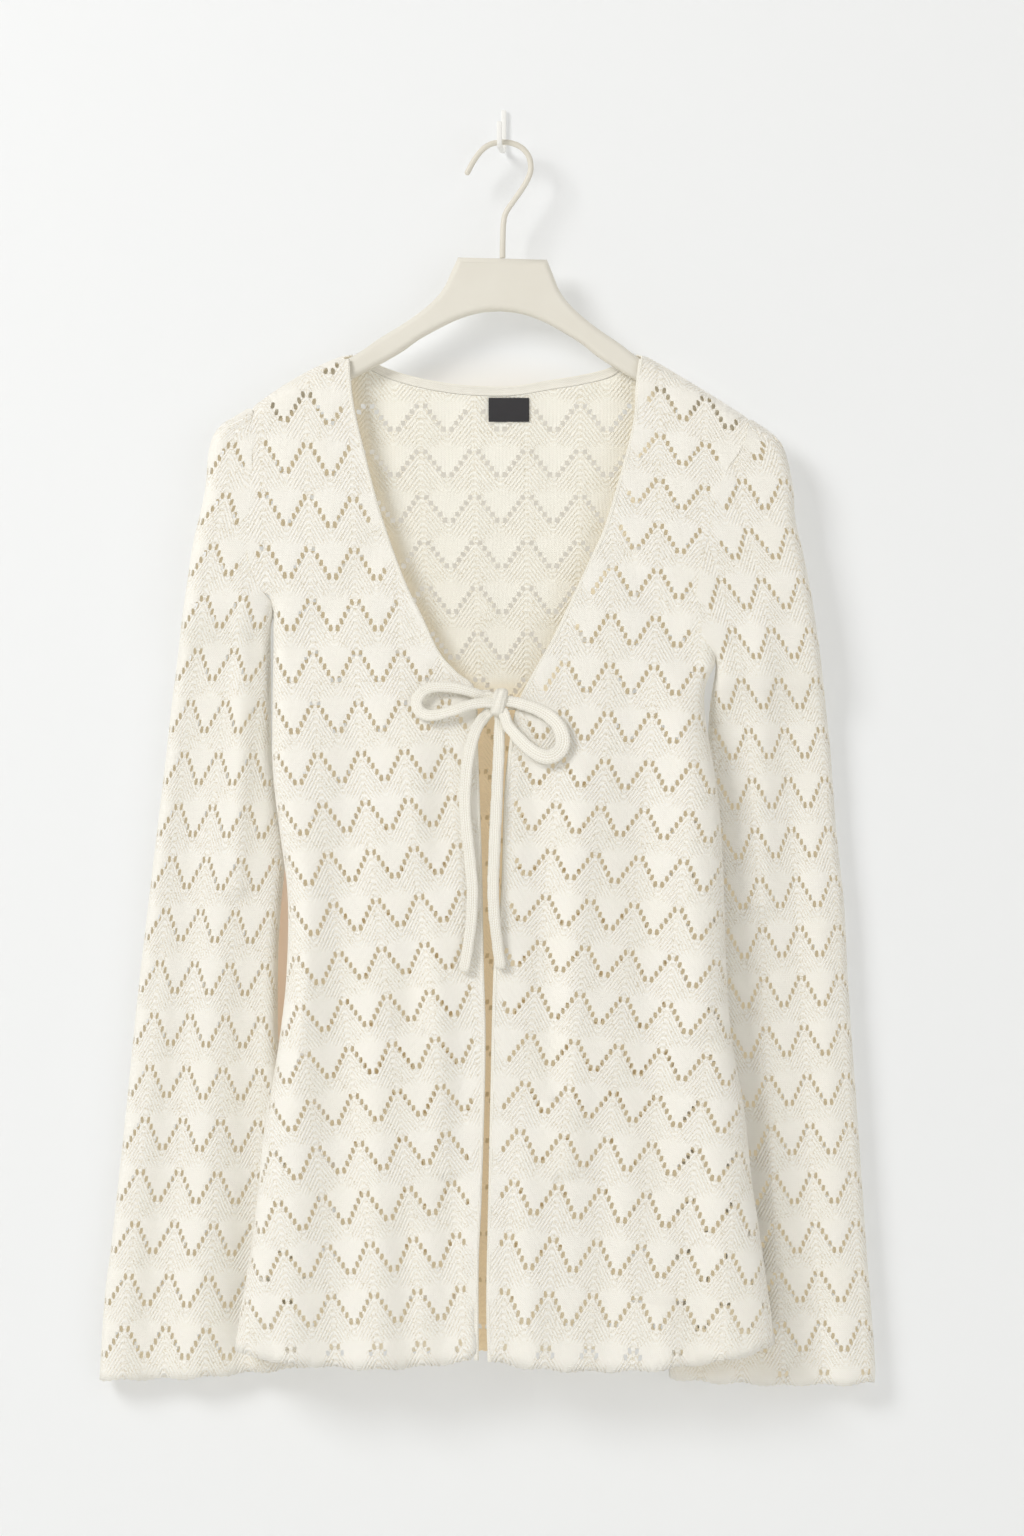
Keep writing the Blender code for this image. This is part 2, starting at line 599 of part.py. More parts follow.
def block(name, size, centre, collection, round_by):
    """A box with rounded edges."""
    mesh = bmesh.new()
    bmesh.ops.create_cube(mesh, size=1.0)
    for vert in mesh.verts:
        vert.co = Vector([(c + v * s) * MM for c, v, s in zip(centre, vert.co, size)])
    data = bpy.data.meshes.new(name)
    mesh.to_mesh(data)
    mesh.free()
    obj = bpy.data.objects.new(name, data)
    collection.objects.link(obj)
    if round_by:
        bevel = obj.modifiers.new("Round", "BEVEL")
        bevel.width = round_by * MM
        bevel.segments = 3
    return obj


def material(name, colour, roughness):
    made = bpy.data.materials.new(name)
    made.use_nodes = True
    shader = made.node_tree.nodes["Principled BSDF"]
    shader.inputs["Base Color"].default_value = (*colour, 1.0)
    shader.inputs["Roughness"].default_value = roughness
    shader.inputs["Metallic"].default_value = 0.0
    return made


def main():
    for old in list(bpy.data.objects):
        bpy.data.objects.remove(old)
    parts = bpy.data.collections.new("crochet_cardigan")
    bpy.context.scene.collection.children.link(parts)

    knit = material("cream knit", (0.82, 0.79, 0.70), 0.9)
    painted = material("beige painted wood", (0.75, 0.70, 0.60), 0.5)
    white = material("white painted steel", (0.86, 0.86, 0.85), 0.4)
    woven = material("black woven label", (0.02, 0.02, 0.02), 0.8)

    back = back_points()
    cloth = [wall_object("back_panel", back, parts)]
    for side in ("left", "right"):
        points, band = front_points(side)
        cloth.append(wall_object("front_" + side, points, parts))
        cloth.append(wall_object("sleeve_" + side, sleeve_points(side), parts, closed=True))
        cloth.append(tube("edge_band_" + side, band, BAND_WIDTH, parts, steps=1))
    cloth.append(wall_object("neck_band", neck_band_points(back), parts, BACK_BAND_WALL))
    cloth.append(block("tie_knot", KNOT_SIZE, KNOT_CENTRE, parts, 2.6))
    for name, route in (("tie_loop_left", LOOP_LEFT), ("tie_loop_right", LOOP_RIGHT),
                        ("tie_tail_left", TAIL_LEFT), ("tie_tail_right", TAIL_RIGHT),
                        ("tie_stub_left", STUB_LEFT), ("tie_stub_right", STUB_RIGHT)):
        width = STUB_WIDTH if "stub" in name else TIE_WIDTH
        cloth.append(tube(name, route, width, parts, TIE_FLATNESS, steps=2))
    for piece in cloth:
        piece.data.materials.append(knit)

    label_y = body_y(*LABEL_CENTRE, 1.0, 1.0, False) - WALL / 2 - CLEARANCE - LABEL_SIZE[1] / 2
    centre = (LABEL_CENTRE[0], label_y, LABEL_CENTRE[1])
    block("neck_label", LABEL_SIZE, centre, parts, 0).data.materials.append(woven)

    hanger_body(parts).data.materials.append(painted)
    wire = [(x, HANGER_Y, z) for x, z in WIRE_LINE]
    tube("hanger_wire", wire, WIRE_THICK, parts, sides=3, steps=2).data.materials.append(painted)
    wall_hook(parts).data.materials.append(white)


main()
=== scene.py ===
# Cream pointelle cardigan with a tied bow, on a flat hanger that hangs from a small wall hook
from math import atan2, copysign, cos, exp, floor, pi, radians, sin, sqrt
import bmesh
import bpy
import numpy as np
from mathutils import Matrix, Vector, noise


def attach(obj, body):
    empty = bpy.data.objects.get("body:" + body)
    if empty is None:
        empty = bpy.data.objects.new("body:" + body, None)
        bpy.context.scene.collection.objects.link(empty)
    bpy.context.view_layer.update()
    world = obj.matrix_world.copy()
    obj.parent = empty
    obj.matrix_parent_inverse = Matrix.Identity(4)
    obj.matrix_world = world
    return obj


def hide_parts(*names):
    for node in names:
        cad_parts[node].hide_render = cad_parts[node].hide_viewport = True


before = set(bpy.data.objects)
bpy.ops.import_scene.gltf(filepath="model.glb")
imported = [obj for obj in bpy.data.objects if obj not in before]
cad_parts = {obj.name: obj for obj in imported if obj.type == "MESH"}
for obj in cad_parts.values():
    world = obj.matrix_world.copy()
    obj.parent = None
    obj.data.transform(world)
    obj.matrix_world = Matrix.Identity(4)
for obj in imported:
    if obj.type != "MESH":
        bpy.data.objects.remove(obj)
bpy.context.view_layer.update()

mm = 0.001

# outlines of the cloth in mm, x and z, as the garment hangs
cloth = {
    "seam": 0.3,           # half of the gap at a side seam
    "shoulderHalf": 8.6,   # half depth where the cloth lies over the hanger
    "armpitLevel": -352,
    "bandWidth": 1.5,      # the panel ends under the middle of its edge band
    "wall": 1.15,          # thickness of the knit
    "side": {
        "left": [(-177.5, -806), (-167.6, -749), (-162.4, -709), (-157.7, -663), (-150.5, -622),
            (-144, -573), (-142, -530), (-143, -500), (-147.8, -465), (-152.2, -425), (-152.6, -380),
            (-153, -318), (-161, -306), (-168, -290), (-169.6, -275), (-168.5, -250), (-167, -227),
            (-167, -205), (-166.3, -185.5)],
        "right": [(178.2, -802), (172.3, -760), (167.6, -727), (163, -696), (158, -650), (149.2, -598),
            (146, -550), (144.6, -500), (141.9, -452), (137, -418), (132.5, -390), (133, -370),
            (140.5, -352), (134, -340), (129, -325), (128, -305), (136, -265), (145, -232), (155, -216),
            (160.5, -205), (161.7, -193)],
    },
    "armpit": {"left": -318, "right": -352},
    "opening": {
        "left": [(-16.5, -813), (-16.5, -750), (-14.5, -703), (-12, -610), (-13.2, -551), (-14.5, -485),
            (-17.2, -406), (-17.6, -384), (-21, -369), (-31, -361), (-43, -347), (-54, -324), (-64, -304),
            (-74, -278), (-84, -247), (-91.7, -217), (-98.3, -189), (-101, -170), (-102.3, -150)],
        "right": [(-10.6, -814), (-11.6, -775), (-10.4, -710), (-9, -643), (-6.6, -551), (-2, -507),
            (0, -445), (2.6, -416), (6, -393), (11, -377), (21, -358), (31, -340.6), (43, -316), (56, -288),
            (66, -266), (74, -240), (82.5, -209), (86.3, -189), (87, -171.6), (89.8, -149.4)],
    },
    "shoulder": {"left": [(-166.3, -185.5), (-102.3, -150)], "right": [(161.7, -193), (89.8, -149.4)]},
    "shoulderRise": {"left": 3.6, "right": 0.8},
    "neckBack": [(-98.4, -152.2), (-92, -158), (-76.6, -165.5), (-58, -171), (-37, -175), (-16.5, -176.8),
        (6.6, -176.8), (31, -172.8), (50, -169.8), (69.3, -165), (80, -158), (86, -151.6)],
    "sleeveOut": {
        "left": [(-166.3, -185.5), (-177, -191), (-189, -199), (-195, -213), (-198, -242), (-205.5, -275),
            (-210.5, -308), (-214, -332), (-220.5, -380), (-225, -420), (-234.5, -499), (-243.8, -579),
            (-251.8, -658), (-260.5, -737), (-265.5, -777), (-269, -831)],
        "right": [(161.7, -193), (177.5, -203), (185.5, -214), (191, -237), (192.6, -259), (198, -283),
            (203, -308), (208, -341), (214.5, -391), (217, -415), (221, -468), (226, -515), (229, -573),
            (235, -658), (241, -745), (246.4, -815), (246.6, -833)],
    },
    "sleeveIn": {
        "left": [(-153, -318), (-155.6, -334), (-155.8, -380), (-155.2, -416), (-151.4, -450),
            (-147.2, -472), (-146.6, -488), (-149.4, -519), (-151, -548), (-151.2, -598), (-149, -628),
            (-145, -665), (-139.5, -710), (-131, -777), (-124.5, -821)],
        "right": [(140.5, -352), (140.8, -360), (139.4, -370), (138, -380), (137, -392), (136, -404),
            (131, -424), (127, -456), (124, -512), (121.5, -578), (119, -643), (116, -709), (112.5, -775),
            (110, -830)],
    },
    "armholeGap": -0.3,    # the sleeve runs this far under the body's edge
    # drop below the armpit level, y of the side seam, half depth to the front and to the back
    "bodyDepth": [(-400, -24, 8.6, 8.6), (0, -24, 8.6, 8.6), (15, -26, 9.2, 8.4), (35, -30, 10.2, 8),
        (60, -33, 12, 9), (110, -34, 13.5, 9.5), (250, -35, 15, 10), (490, -37, 16, 11.5)],
    # drop below the sleeve's own armpit, y of the middle, half depth
    "sleeveDepth": [(-400, -24, 8.6), (0, -24, 8.6), (12, -21.5, 8.4), (28, -15, 7.8), (42, -12.4, 7.4),
        (90, -11.4, 7.2), (560, -11.2, 7.4)],
    "hemSag": {"left": -9, "right": -12, "back": -8},
    "backHemRise": 1,
    "cuffSag": -3,
    "scallop": 0.8,        # rise and fall of a knitted edge with the lace
    "soften": {"body": 12, "bodyWide": 46, "sleeve": 8},  # rounding of the depth tables' corners
    "armpitPull": 60,      # the armpit's pull on the depth is evened out over this way from the side
    "bodyFade": (14, 30),  # folds grow from nothing over this way from the side and the shoulder
    "sleeveFade": (12, 50),
    # unevenness of hanging knit: width, height and depth of its waves, what is added to the seed
    "ripples": [(34, 60, 1.1, 0), (13, 26, 0.35, 9)],
    "seeds": {"left": 1.0, "right": 4.0, "back": 7.0, "sleeve_left": 12.0, "sleeve_right": 15.0},
    "sleeveRipple": 0.8,
    "foldGrows": 0.31,     # share of its length over which a fold deepens, and where it ends
    "foldEnds": 1.2,
}

# folds in mm: x, z of the upper end, x, z of the lower end, half width, depth to the front
folds = {
    "front": [(-30, -372, -58, -560, 12, -4.0), (-62, -380, -40, -640, 11, 3.4),
        (-100, -330, -110, -760, 16, -4.2), (-128, -430, -140, -825, 13, 4.0),
        (-84, -560, -82, -830, 12, 3.2), (-26, -560, -40, -830, 10, -3.6), (-66, -700, -62, -830, 9, -3.4),
        (-70, -262, -120, -330, 12, -1.6), (16, -385, 30, -600, 11, -3.8), (52, -375, 44, -640, 12, 3.4),
        (84, -330, 100, -700, 15, -4.4), (118, -350, 128, -560, 12, 3.0), (12, -640, 20, -830, 10, 3.2),
        (62, -620, 66, -830, 13, -3.8), (134, -600, 150, -825, 13, 3.8), (104, -690, 108, -830, 10, 3.2),
        (60, -262, 118, -345, 12, -1.6)],
    "back": [(-120, -330, -134, -815, 14, -3.0), (-84, -300, -92, -815, 15, 3.4),
        (-40, -420, -48, -815, 14, -3.0), (6, -380, 2, -815, 15, 3.2), (52, -430, 58, -815, 13, -3.0),
        (96, -320, 112, -815, 15, 3.2)],
    "sleeveFront": [(-172, -285, -176, -470, 7, 3.8), (-196, -300, -236, -835, 12, -3.0),
        (-182, -400, -206, -835, 11, 3.0), (-168, -520, -176, -835, 10, -3.2),
        (-150, -600, -146, -835, 9, 2.6), (-214, -480, -256, -835, 9, 2.6), (170, -290, 172, -480, 9, 3.2),
        (188, -330, 204, -835, 12, -3.0), (204, -420, 228, -835, 10, 2.6), (162, -480, 164, -835, 12, -3.0),
        (178, -620, 184, -835, 9, 2.8), (136, -560, 138, -835, 9, 2.6)],
    "sleeveBack": [(-190, -300, -222, -835, 14, 2.6), (-164, -420, -188, -835, 12, -2.4),
        (-150, -560, -154, -835, 10, 2.4), (184, -300, 220, -835, 13, 2.6),
        (160, -430, 180, -835, 12, -2.4), (140, -560, 148, -835, 10, 2.4)],
}

# how the lace lies on each piece: a peak of it at x, z and which column and cell that is; width of a
# column, height of a cell (two rows), lean of the columns and slope of the rows from the middle, by height
lace = {
    "each": {"peak": (6.5, 4.5), "lean": [(0, 0)], "slope": [(0, 0)]},
    "front_left": {"x": -76.9, "z": -575.4, "middle": -80,
                   "width": [(-820, 2.36), (-450, 2.36), (-200, 2.5)],
                   "cell": [(-820, 4.2), (-690, 4.2), (-660, 3.92), (-575, 3.92), (-520, 4.04),
                       (-420, 4.04), (-340, 4.2), (-150, 4.2)],
                   "lean": [(-820, -0.05), (-700, -0.11), (-450, -0.11), (-380, -0.04), (-150, 0.0)],
                   "slope": [(-820, 0.02), (-720, 0.11), (-560, 0.12), (-400, 0.03), (-230, -0.06)]},
    "front_right": {"x": 49.8, "z": -576.0, "middle": 72,
                    "width": [(-820, 2.4), (-450, 2.42), (-200, 2.5)],
                    "cell": [(-820, 4.3), (-690, 4.3), (-660, 3.9), (-420, 3.88), (-340, 4.12),
                        (-300, 3.95), (-150, 3.8)],
                    "lean": [(-820, 0.05), (-700, 0.11), (-450, 0.11), (-380, 0.04), (-150, 0.0)],
                    "slope": [(-820, -0.02), (-720, -0.1), (-560, -0.12), (-400, -0.03), (-300, -0.06),
                        (-200, -0.2)]},
    "back": {"x": 15.5, "z": -214.0, "middle": 0,
             "width": [(-820, 2.42), (-460, 2.42), (-330, 2.75), (-230, 2.95)],
             "cell": [(-820, 3.85), (-150, 3.78)]},
    "sleeve_left": {"x": 51.7, "z": -571.0, "middle": 0, "peak": (0.5, 0.5),
                    "width": [(-830, 2.3), (-700, 2.15), (-573, 1.95), (-400, 1.9), (-250, 2.3)],
                    "cell": [(-830, 4.35), (-330, 4.3), (-200, 4.15)],
                    "slope": [(-830, -0.02), (-600, -0.04), (-300, 0.0)]},
    "sleeve_right": {"x": 72.8, "z": -579.5, "middle": 0, "peak": (0.5, 0.5),
                     "width": [(-830, 2.3), (-700, 2.2), (-573, 2.1), (-400, 2.0), (-250, 2.3)],
                     "cell": [(-830, 4.1), (-330, 4.1), (-200, 4.1)],
                     "slope": [(-830, -0.02), (-600, -0.04), (-300, 0.0)]},
}
# a repeat of the lace, in columns and cells, and the zones of its ground: the zigzag's peak and foot, the
# arch of loose ground over it and its rise, softness of both borders, height of puff and ridge in mm,
# the least height of an arch, how a ridge grows from the peak, and the levels in mm that rows are counted by
repeat = {"columns": 12, "cells": 8, "peak": 6.5, "foot": 5.5, "arch": 4.3, "archRise": 2.1,
          "lineSoft": 0.8, "archSoft": 0.7, "puff": 0.6, "ridge": 0.4, "ridgeWidth": 0.38,
          "least": 0.5, "ridgeGrows": 3, "levels": (-900.0, -100.0)}
# the eyelets: cells of a repeat that hold one, clearance from the edge, rim, stretch along the lean,
# how far the two at a valley's foot reach, size of the opening at its corners and sides
eyelet = {"cells": {(1, 0), (2, 1), (3, 2), (4, 3), (5, 4), (7, 4), (8, 3), (9, 2), (10, 1), (11, 0)},
          "clear": 0.6, "plainEdge": 1.4, "rim": 0.1, "stretch": (0.18, 0.13), "valley": (0.22, 0.154),
          "corner": 0.74, "side": 0.94}
# the knitted edge, in cells: least gap to the grid, rows of the hem, rise of each second column
knitEdge = {"gap": 0.3, "hemRows": 9, "rise": 0.09}
# how far the painted light reaches in through the V neck, in mm; elsewhere the back's inner side is painted
# in shade, warmer at the slit
neckLight = {"left": (1, 15), "right": (4, 8), "end": (376, 14), "slitShadeEdge": 3, "slitShadeEnd": (374, 8),
             "slitShade": 0.3}


# small helpers
def srgb(code):
    # sRGB hex to linear
    parts = [int(code[i:i + 2], 16) / 255 for i in (1, 3, 5)]
    return tuple(c / 12.92 if c <= 0.04045 else ((c + 0.055) / 1.055) ** 2.4 for c in parts) + (1.0,)


def setInputs(node, inputs):
    for key, value in inputs.items():
        if isinstance(value, bpy.types.NodeSocket):
            node.id_data.links.new(value, node.inputs[key])
        else:
            node.inputs[key].default_value = value


def addNode(tree, kind, inputs, output=0, **settings):
    # a shader node with its settings, its inputs linked or set, gives one of its outputs
    node = tree.nodes.new("ShaderNode" + kind)
    for name, value in settings.items():
        setattr(node, name, value)
    setInputs(node, inputs)
    return node.outputs[output]


def newMaterial(name, constants):
    # a material, its nodes, and its shader with the inputs that are the same all over
    material = bpy.data.materials.new(name)
    material.use_nodes = True
    shader = material.node_tree.nodes["Principled BSDF"]
    setInputs(shader, constants)
    return material, material.node_tree, shader


def layUv(bm, places):
    # where each vertex lies on the knit
    uv = bm.loops.layers.uv.new("stitches")
    for face in bm.faces:
        for loop in face.loops:
            loop[uv].uv = places[loop.vert]


def finishPiece(name, bm, materials, smooth=True):
    data = bpy.data.meshes.new(name)
    bm.to_mesh(data)
    bm.free()
    if smooth:
        data.shade_smooth()
    for material in materials:
        data.materials.append(material)
    obj = bpy.data.objects.new(name, data)
    bpy.context.scene.collection.objects.link(obj)
    return obj


def polyCurve(name, points, dimensions, bevel, resolution):
    # a curve object through points, and its spline
    curve = bpy.data.curves.new(name, "CURVE")
    curve.dimensions, curve.bevel_depth, curve.bevel_resolution = dimensions, bevel, resolution
    spline = curve.splines.new("POLY")
    spline.points.add(len(points) - 1)
    for point, place in zip(spline.points, points):
        point.co = (*place, 1)
    obj = bpy.data.objects.new(name, curve)
    bpy.context.scene.collection.objects.link(obj)
    return obj, curve, spline


def standFor(piece, node):
    # the piece rides on the only body and replaces its CAD node
    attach(piece, "root")
    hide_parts(node)


def smoothLine(points, steps=10):
    # a line through points, Catmull-Rom
    points = np.array(points, float)
    ends = np.vstack([2 * points[0] - points[1], points, 2 * points[-1] - points[-2]])
    line = []
    for a, b, c, d in zip(ends, ends[1:], ends[2:], ends[3:]):
        for t in np.arange(steps) / steps:
            line.append(0.5 * (2 * b + (c - a) * t + (2 * a - 5 * b + 4 * c - d) * t * t
                               + (3 * b - a - 3 * c + d) * t ** 3))
    return np.array(line + [points[-1]])


def readByZ(line):
    order = np.argsort(line[:, 1])
    zs, xs = line[order, 1], line[order, 0]
    return lambda z: np.interp(z, zs, xs)


def distances(line):
    return np.concatenate([[0], np.cumsum(np.linalg.norm(np.diff(line, axis=0), axis=1))])


def heading(line):
    along = np.gradient(line, axis=0)
    return along / np.linalg.norm(along, axis=1)[:, None]


def offsetLine(line, by):
    along = heading(line)
    return line + np.stack([-along[:, 1], along[:, 0]], axis=1) * by


def readSoft(table, column, reach):
    # a column of a table by its first, rounded off at its corners
    keys = np.arange(-400.0, 600.0)
    values = np.interp(keys, [row[0] for row in table], [row[column] for row in table])
    window = np.hanning(2 * reach + 1)
    padded = np.pad(values, reach, mode="edge")
    values = np.convolve(padded, window / window.sum(), mode="valid")
    return lambda key: np.interp(key, keys, values)


def readTable(table):
    table = sorted(table)
    return lambda key: np.interp(key, [row[0] for row in table], [row[1] for row in table])


def roll(distance, radius):
    # arc distance from an edge round which the cloth turns: distance seen, and share of the depth
    angle = np.clip(distance / radius, 0, pi / 2)
    turned = distance < radius * pi / 2
    seen = np.where(turned, radius * (1 - np.cos(angle)), distance - radius * (pi / 2 - 1))
    return seen, np.sin(angle)


def unroll(seen, radius):
    inside = np.arccos(np.clip(1 - seen / radius, 0, 1)) * radius
    return np.where(seen < radius, inside, seen + radius * (pi / 2 - 1))


def ease(t):
    t = np.clip(t, 0, 1)
    return t * t * (3 - 2 * t)


def foldDepth(name, x, z):
    depth = np.zeros_like(x)
    for x0, z0, x1, z1, width, height in folds[name]:
        along = (z0 - z) / (z0 - z1)
        across = (x - (x0 + (x1 - x0) * along)) / width
        shown = ease(along / cloth["foldGrows"]) * (along < cloth["foldEnds"])
        depth += height * shown * np.exp(-across * across)
    return depth


def ripple(x, z, seed):
    # slight unevenness of hanging knit, in mm
    return np.array([sum(noise.noise(Vector((a / wide, b / high, seed + more))) * deep
                         for wide, high, deep, more in cloth["ripples"]) for a, b in zip(x, z)])


edgeX, openX, outerX, innerX = {}, {}, {}, {}
for which, away in (("left", 1), ("right", -1)):
    edgeX[which] = readByZ(smoothLine(cloth["side"][which]))
    openX[which] = readByZ(offsetLine(smoothLine(cloth["opening"][which]), away * cloth["bandWidth"]))
    outerX[which] = readByZ(smoothLine(cloth["sleeveOut"][which]))
    armhole = [p for p in cloth["side"][which] if p[1] > cloth["armpit"][which]]
    inner = smoothLine(cloth["sleeveIn"][which][::-1] + armhole)
    above = inner[:, 1] > cloth["armpit"][which] + 4
    inner[above] = (inner + np.array([-away * cloth["armholeGap"], 0]))[above]
    innerX[which] = readByZ(inner)
soften = cloth["soften"]
seamY, halfFront, halfBack = (readSoft(cloth["bodyDepth"], k, soften["body"]) for k in (1, 2, 3))
seamYWide, halfFrontWide, halfBackWide = (readSoft(cloth["bodyDepth"], k, soften["bodyWide"])
                                          for k in (1, 2, 3))
sleeveY, sleeveHalf = (readSoft(cloth["sleeveDepth"], k, soften["sleeve"]) for k in (1, 2))


def shoulderZ(which, x):
    (x0, z0), (x1, z1) = cloth["shoulder"][which]
    t = (x - x0) / (x1 - x0)
    bow = np.clip(t, 0, 1)
    return z0 + (z1 - z0) * t + cloth["shoulderRise"][which] * 4 * bow * (1 - bow)


def shoulderFlat(which, x):
    # the top edge of the flat cut
    return shoulderZ(which, x) + cloth["shoulderHalf"] * (pi / 2 - 1)


def openness(which, z):
    # 0 below the armpit, where the side is folded, 1 above it, where the armhole is open
    return roll(np.maximum(z - cloth["armpit"][which], 0.0), cloth["shoulderHalf"])[1]


def sideLine(which, z, half):
    # x of the side fold with the cloth laid out flat
    away = -1 if which == "left" else 1
    return edgeX[which](z) + away * half * (pi / 2 - 1) * (1 - openness(which, z))


def bySide(left, read):
    return np.where(left, read("left"), read("right"))


# where the cloth of the body lies: from the flat cut (u, v) to x, y, z
def bodyPlace(u, v, part, relief=0.0):
    front = part != "back"
    left = np.full(u.shape, part == "left") if front else u < 0
    top = bySide(left, lambda which: shoulderZ(which, u))
    flat = bySide(left, lambda which: shoulderFlat(which, u))
    down, topTurn = roll(flat - v, cloth["shoulderHalf"])
    z = top - down
    drop = cloth["armpitLevel"] - z
    half = (halfFront if front else halfBack)(drop)
    edge = bySide(left, lambda which: edgeX[which](z))
    opened = bySide(left, lambda which: openness(which, z))
    away = np.where(left, 1.0, -1.0)
    arc = (u - bySide(left, lambda which: sideLine(which, z, half))) * away
    seen, sideTurn = roll(arc, half)
    seen = seen * (1 - opened) + arc * opened
    sideTurn = sideTurn * (1 - opened) + opened
    x = edge + seen * away
    full = sideTurn * topTurn
    wide = ease(seen / cloth["armpitPull"])
    seam = seamY(drop) * (1 - wide) + seamYWide(drop) * wide
    half = half * (1 - wide) + (halfFrontWide if front else halfBackWide)(drop) * wide
    fade = np.clip(np.minimum(seen / cloth["bodyFade"][0], down / cloth["bodyFade"][1]), 0, 1) * full
    depth = half * full + cloth["seam"] * (1 - full)
    bend = foldDepth("front" if front else "back", x, z) * fade
    uneven = ripple(x, z, cloth["seeds"][part]) * fade
    if front:
        y = seam - depth - bend - uneven - relief * full
    else:
        y = seam + depth - bend + uneven + relief * full
    return np.stack([x, y, z], axis=1)


def sleevePlace(u, v, which, relief=0.0):
    # u is the way round from the outer fold, over the front if above 0
    z = v
    armpit = cloth["armpit"][which]
    half = sleeveHalf(armpit - z)
    opened = openness(which, z)
    width = np.abs(innerX[which](z) - outerX[which](z))
    rounded = half * (pi / 2 - 1)
    way = np.abs(u)
    seen, outTurn = roll(way, half)
    left = width + rounded * (2 - opened) - way
    inner, inTurn = roll(np.maximum(left, 0), half)
    inner = inner * (1 - opened) + np.maximum(left, 0) * opened
    inTurn = inTurn * (1 - opened) + opened
    seen = np.where(way > (width + rounded) / 2, width - inner, seen)
    x = outerX[which](z) + seen * (1 if which == "left" else -1)
    full = outTurn * inTurn
    front = u > 0
    nearest = np.minimum(seen, width - seen)
    below = cloth["shoulder"][which][0][1] - z
    fade = np.clip(np.minimum(nearest / cloth["sleeveFade"][0], below / cloth["sleeveFade"][1]), 0, 1) * full
    bend = np.where(front, foldDepth("sleeveFront", x, z), foldDepth("sleeveBack", x, z)) * fade
    uneven = ripple(x, z, cloth["seeds"]["sleeve_" + which]) * fade * cloth["sleeveRipple"]
    depth = half * full + cloth["seam"] * (1 - full) + (uneven + relief) * full
    y = sleeveY(armpit - z) + np.where(front, -depth, depth) - bend
    return np.stack([x, y, z], axis=1)


# outlines of the flat cuts: points along each stretch, and how far past a tip it starts or ends, in mm
traced = {"side": 330, "shoulder": 40, "frontHem": 120, "backHem": 200, "cuff": 70, "past": 1.5}


def layFlat(x, z, which):
    below = np.maximum(shoulderZ(which, x) - z, 0)
    return np.stack([x, shoulderFlat(which, x) - unroll(below, cloth["shoulderHalf"])], axis=1)


def frontOutline(which):
    away = -1 if which == "left" else 1
    zSide = cloth["side"][which][0][1]
    zOpen = cloth["opening"][which][0][1]
    t = np.linspace(0, 1, traced["frontHem"])
    z = zSide + (zOpen - zSide) * t + cloth["hemSag"][which] * 4 * t * (1 - t)
    side = sideLine(which, np.array([zSide]), halfFront(cloth["armpitLevel"] - zSide))[0]
    u = side + (openX[which](zOpen) - side) * t
    hem = np.stack([u, z], axis=1)
    z = np.linspace(zOpen, cloth["opening"][which][-1][1] + traced["past"], traced["side"])[1:]
    rise = layFlat(openX[which](z), z, which)
    tip = cloth["shoulder"][which]
    u = np.linspace(rise[-1, 0], tip[0][0], traced["shoulder"])[1:]
    top = np.stack([u, shoulderFlat(which, u)], axis=1)
    z = np.linspace(tip[0][1], zSide, traced["side"])[1:-1]
    down = layFlat(sideLine(which, z, halfFront(cloth["armpitLevel"] - z)), z, which)
    return np.vstack([hem, rise, top, down]), (len(hem), len(hem) + len(rise))


def backOutline():
    sides, tops, necks = {}, {}, {}
    neck = smoothLine(cloth["neckBack"], 6)
    for which, half in (("left", neck[neck[:, 0] < 0]), ("right", neck[neck[:, 0] >= 0])):
        (tip, zTip), (inner, _) = cloth["shoulder"][which]
        z = np.linspace(cloth["side"][which][0][1], zTip, traced["side"])
        sides[which] = layFlat(sideLine(which, z, halfBack(cloth["armpitLevel"] - z)), z, which)
        x = np.linspace(tip, inner, traced["shoulder"])
        tops[which] = np.stack([x, shoulderFlat(which, x)], axis=1)
        necks[which] = layFlat(half[:, 0], half[:, 1], which)
    t = np.linspace(0, 1, traced["backHem"])[1:-1, None]
    hem = sides["left"][0] + (sides["right"][0] - sides["left"][0]) * t
    hem[:, 1:] += cloth["hemSag"]["back"] * 4 * t * (1 - t) + cloth["backHemRise"]
    neck = np.vstack([necks["left"], necks["right"]])
    first = len(hem) + len(sides["right"]) + len(tops["right"]) - 1
    return np.vstack([hem, sides["right"], tops["right"][1:], neck[::-1], tops["left"][::-1],
                      sides["left"][::-1]]), (first, first + len(neck))


def sleeveOutline(which):
    tip = cloth["shoulder"][which][0][1]
    zOut, zIn = cloth["sleeveOut"][which][-1][1], cloth["sleeveIn"][which][-1][1]
    z = np.linspace(tip - traced["past"], zIn, traced["side"])
    half = sleeveHalf(cloth["armpit"][which] - z)
    width = np.abs(innerX[which](z) - outerX[which](z))
    way = width + half * (pi / 2 - 1) * (2 - openness(which, z))
    front = np.stack([way, z], axis=1)
    reach = np.linspace(way[-1], 0, traced["cuff"])[1:]
    seen = roll(reach, half[-1])[0]
    t = np.clip(seen / width[-1], 0, 1)
    cuff = np.stack([reach, zOut + (zIn - zOut) * t + cloth["cuffSag"] * 4 * t * (1 - t)], axis=1)
    mirror = np.array([-1, 1])
    return np.vstack([front, cuff, cuff[-2::-1] * mirror, front[::-1] * mirror]), (0, 0)


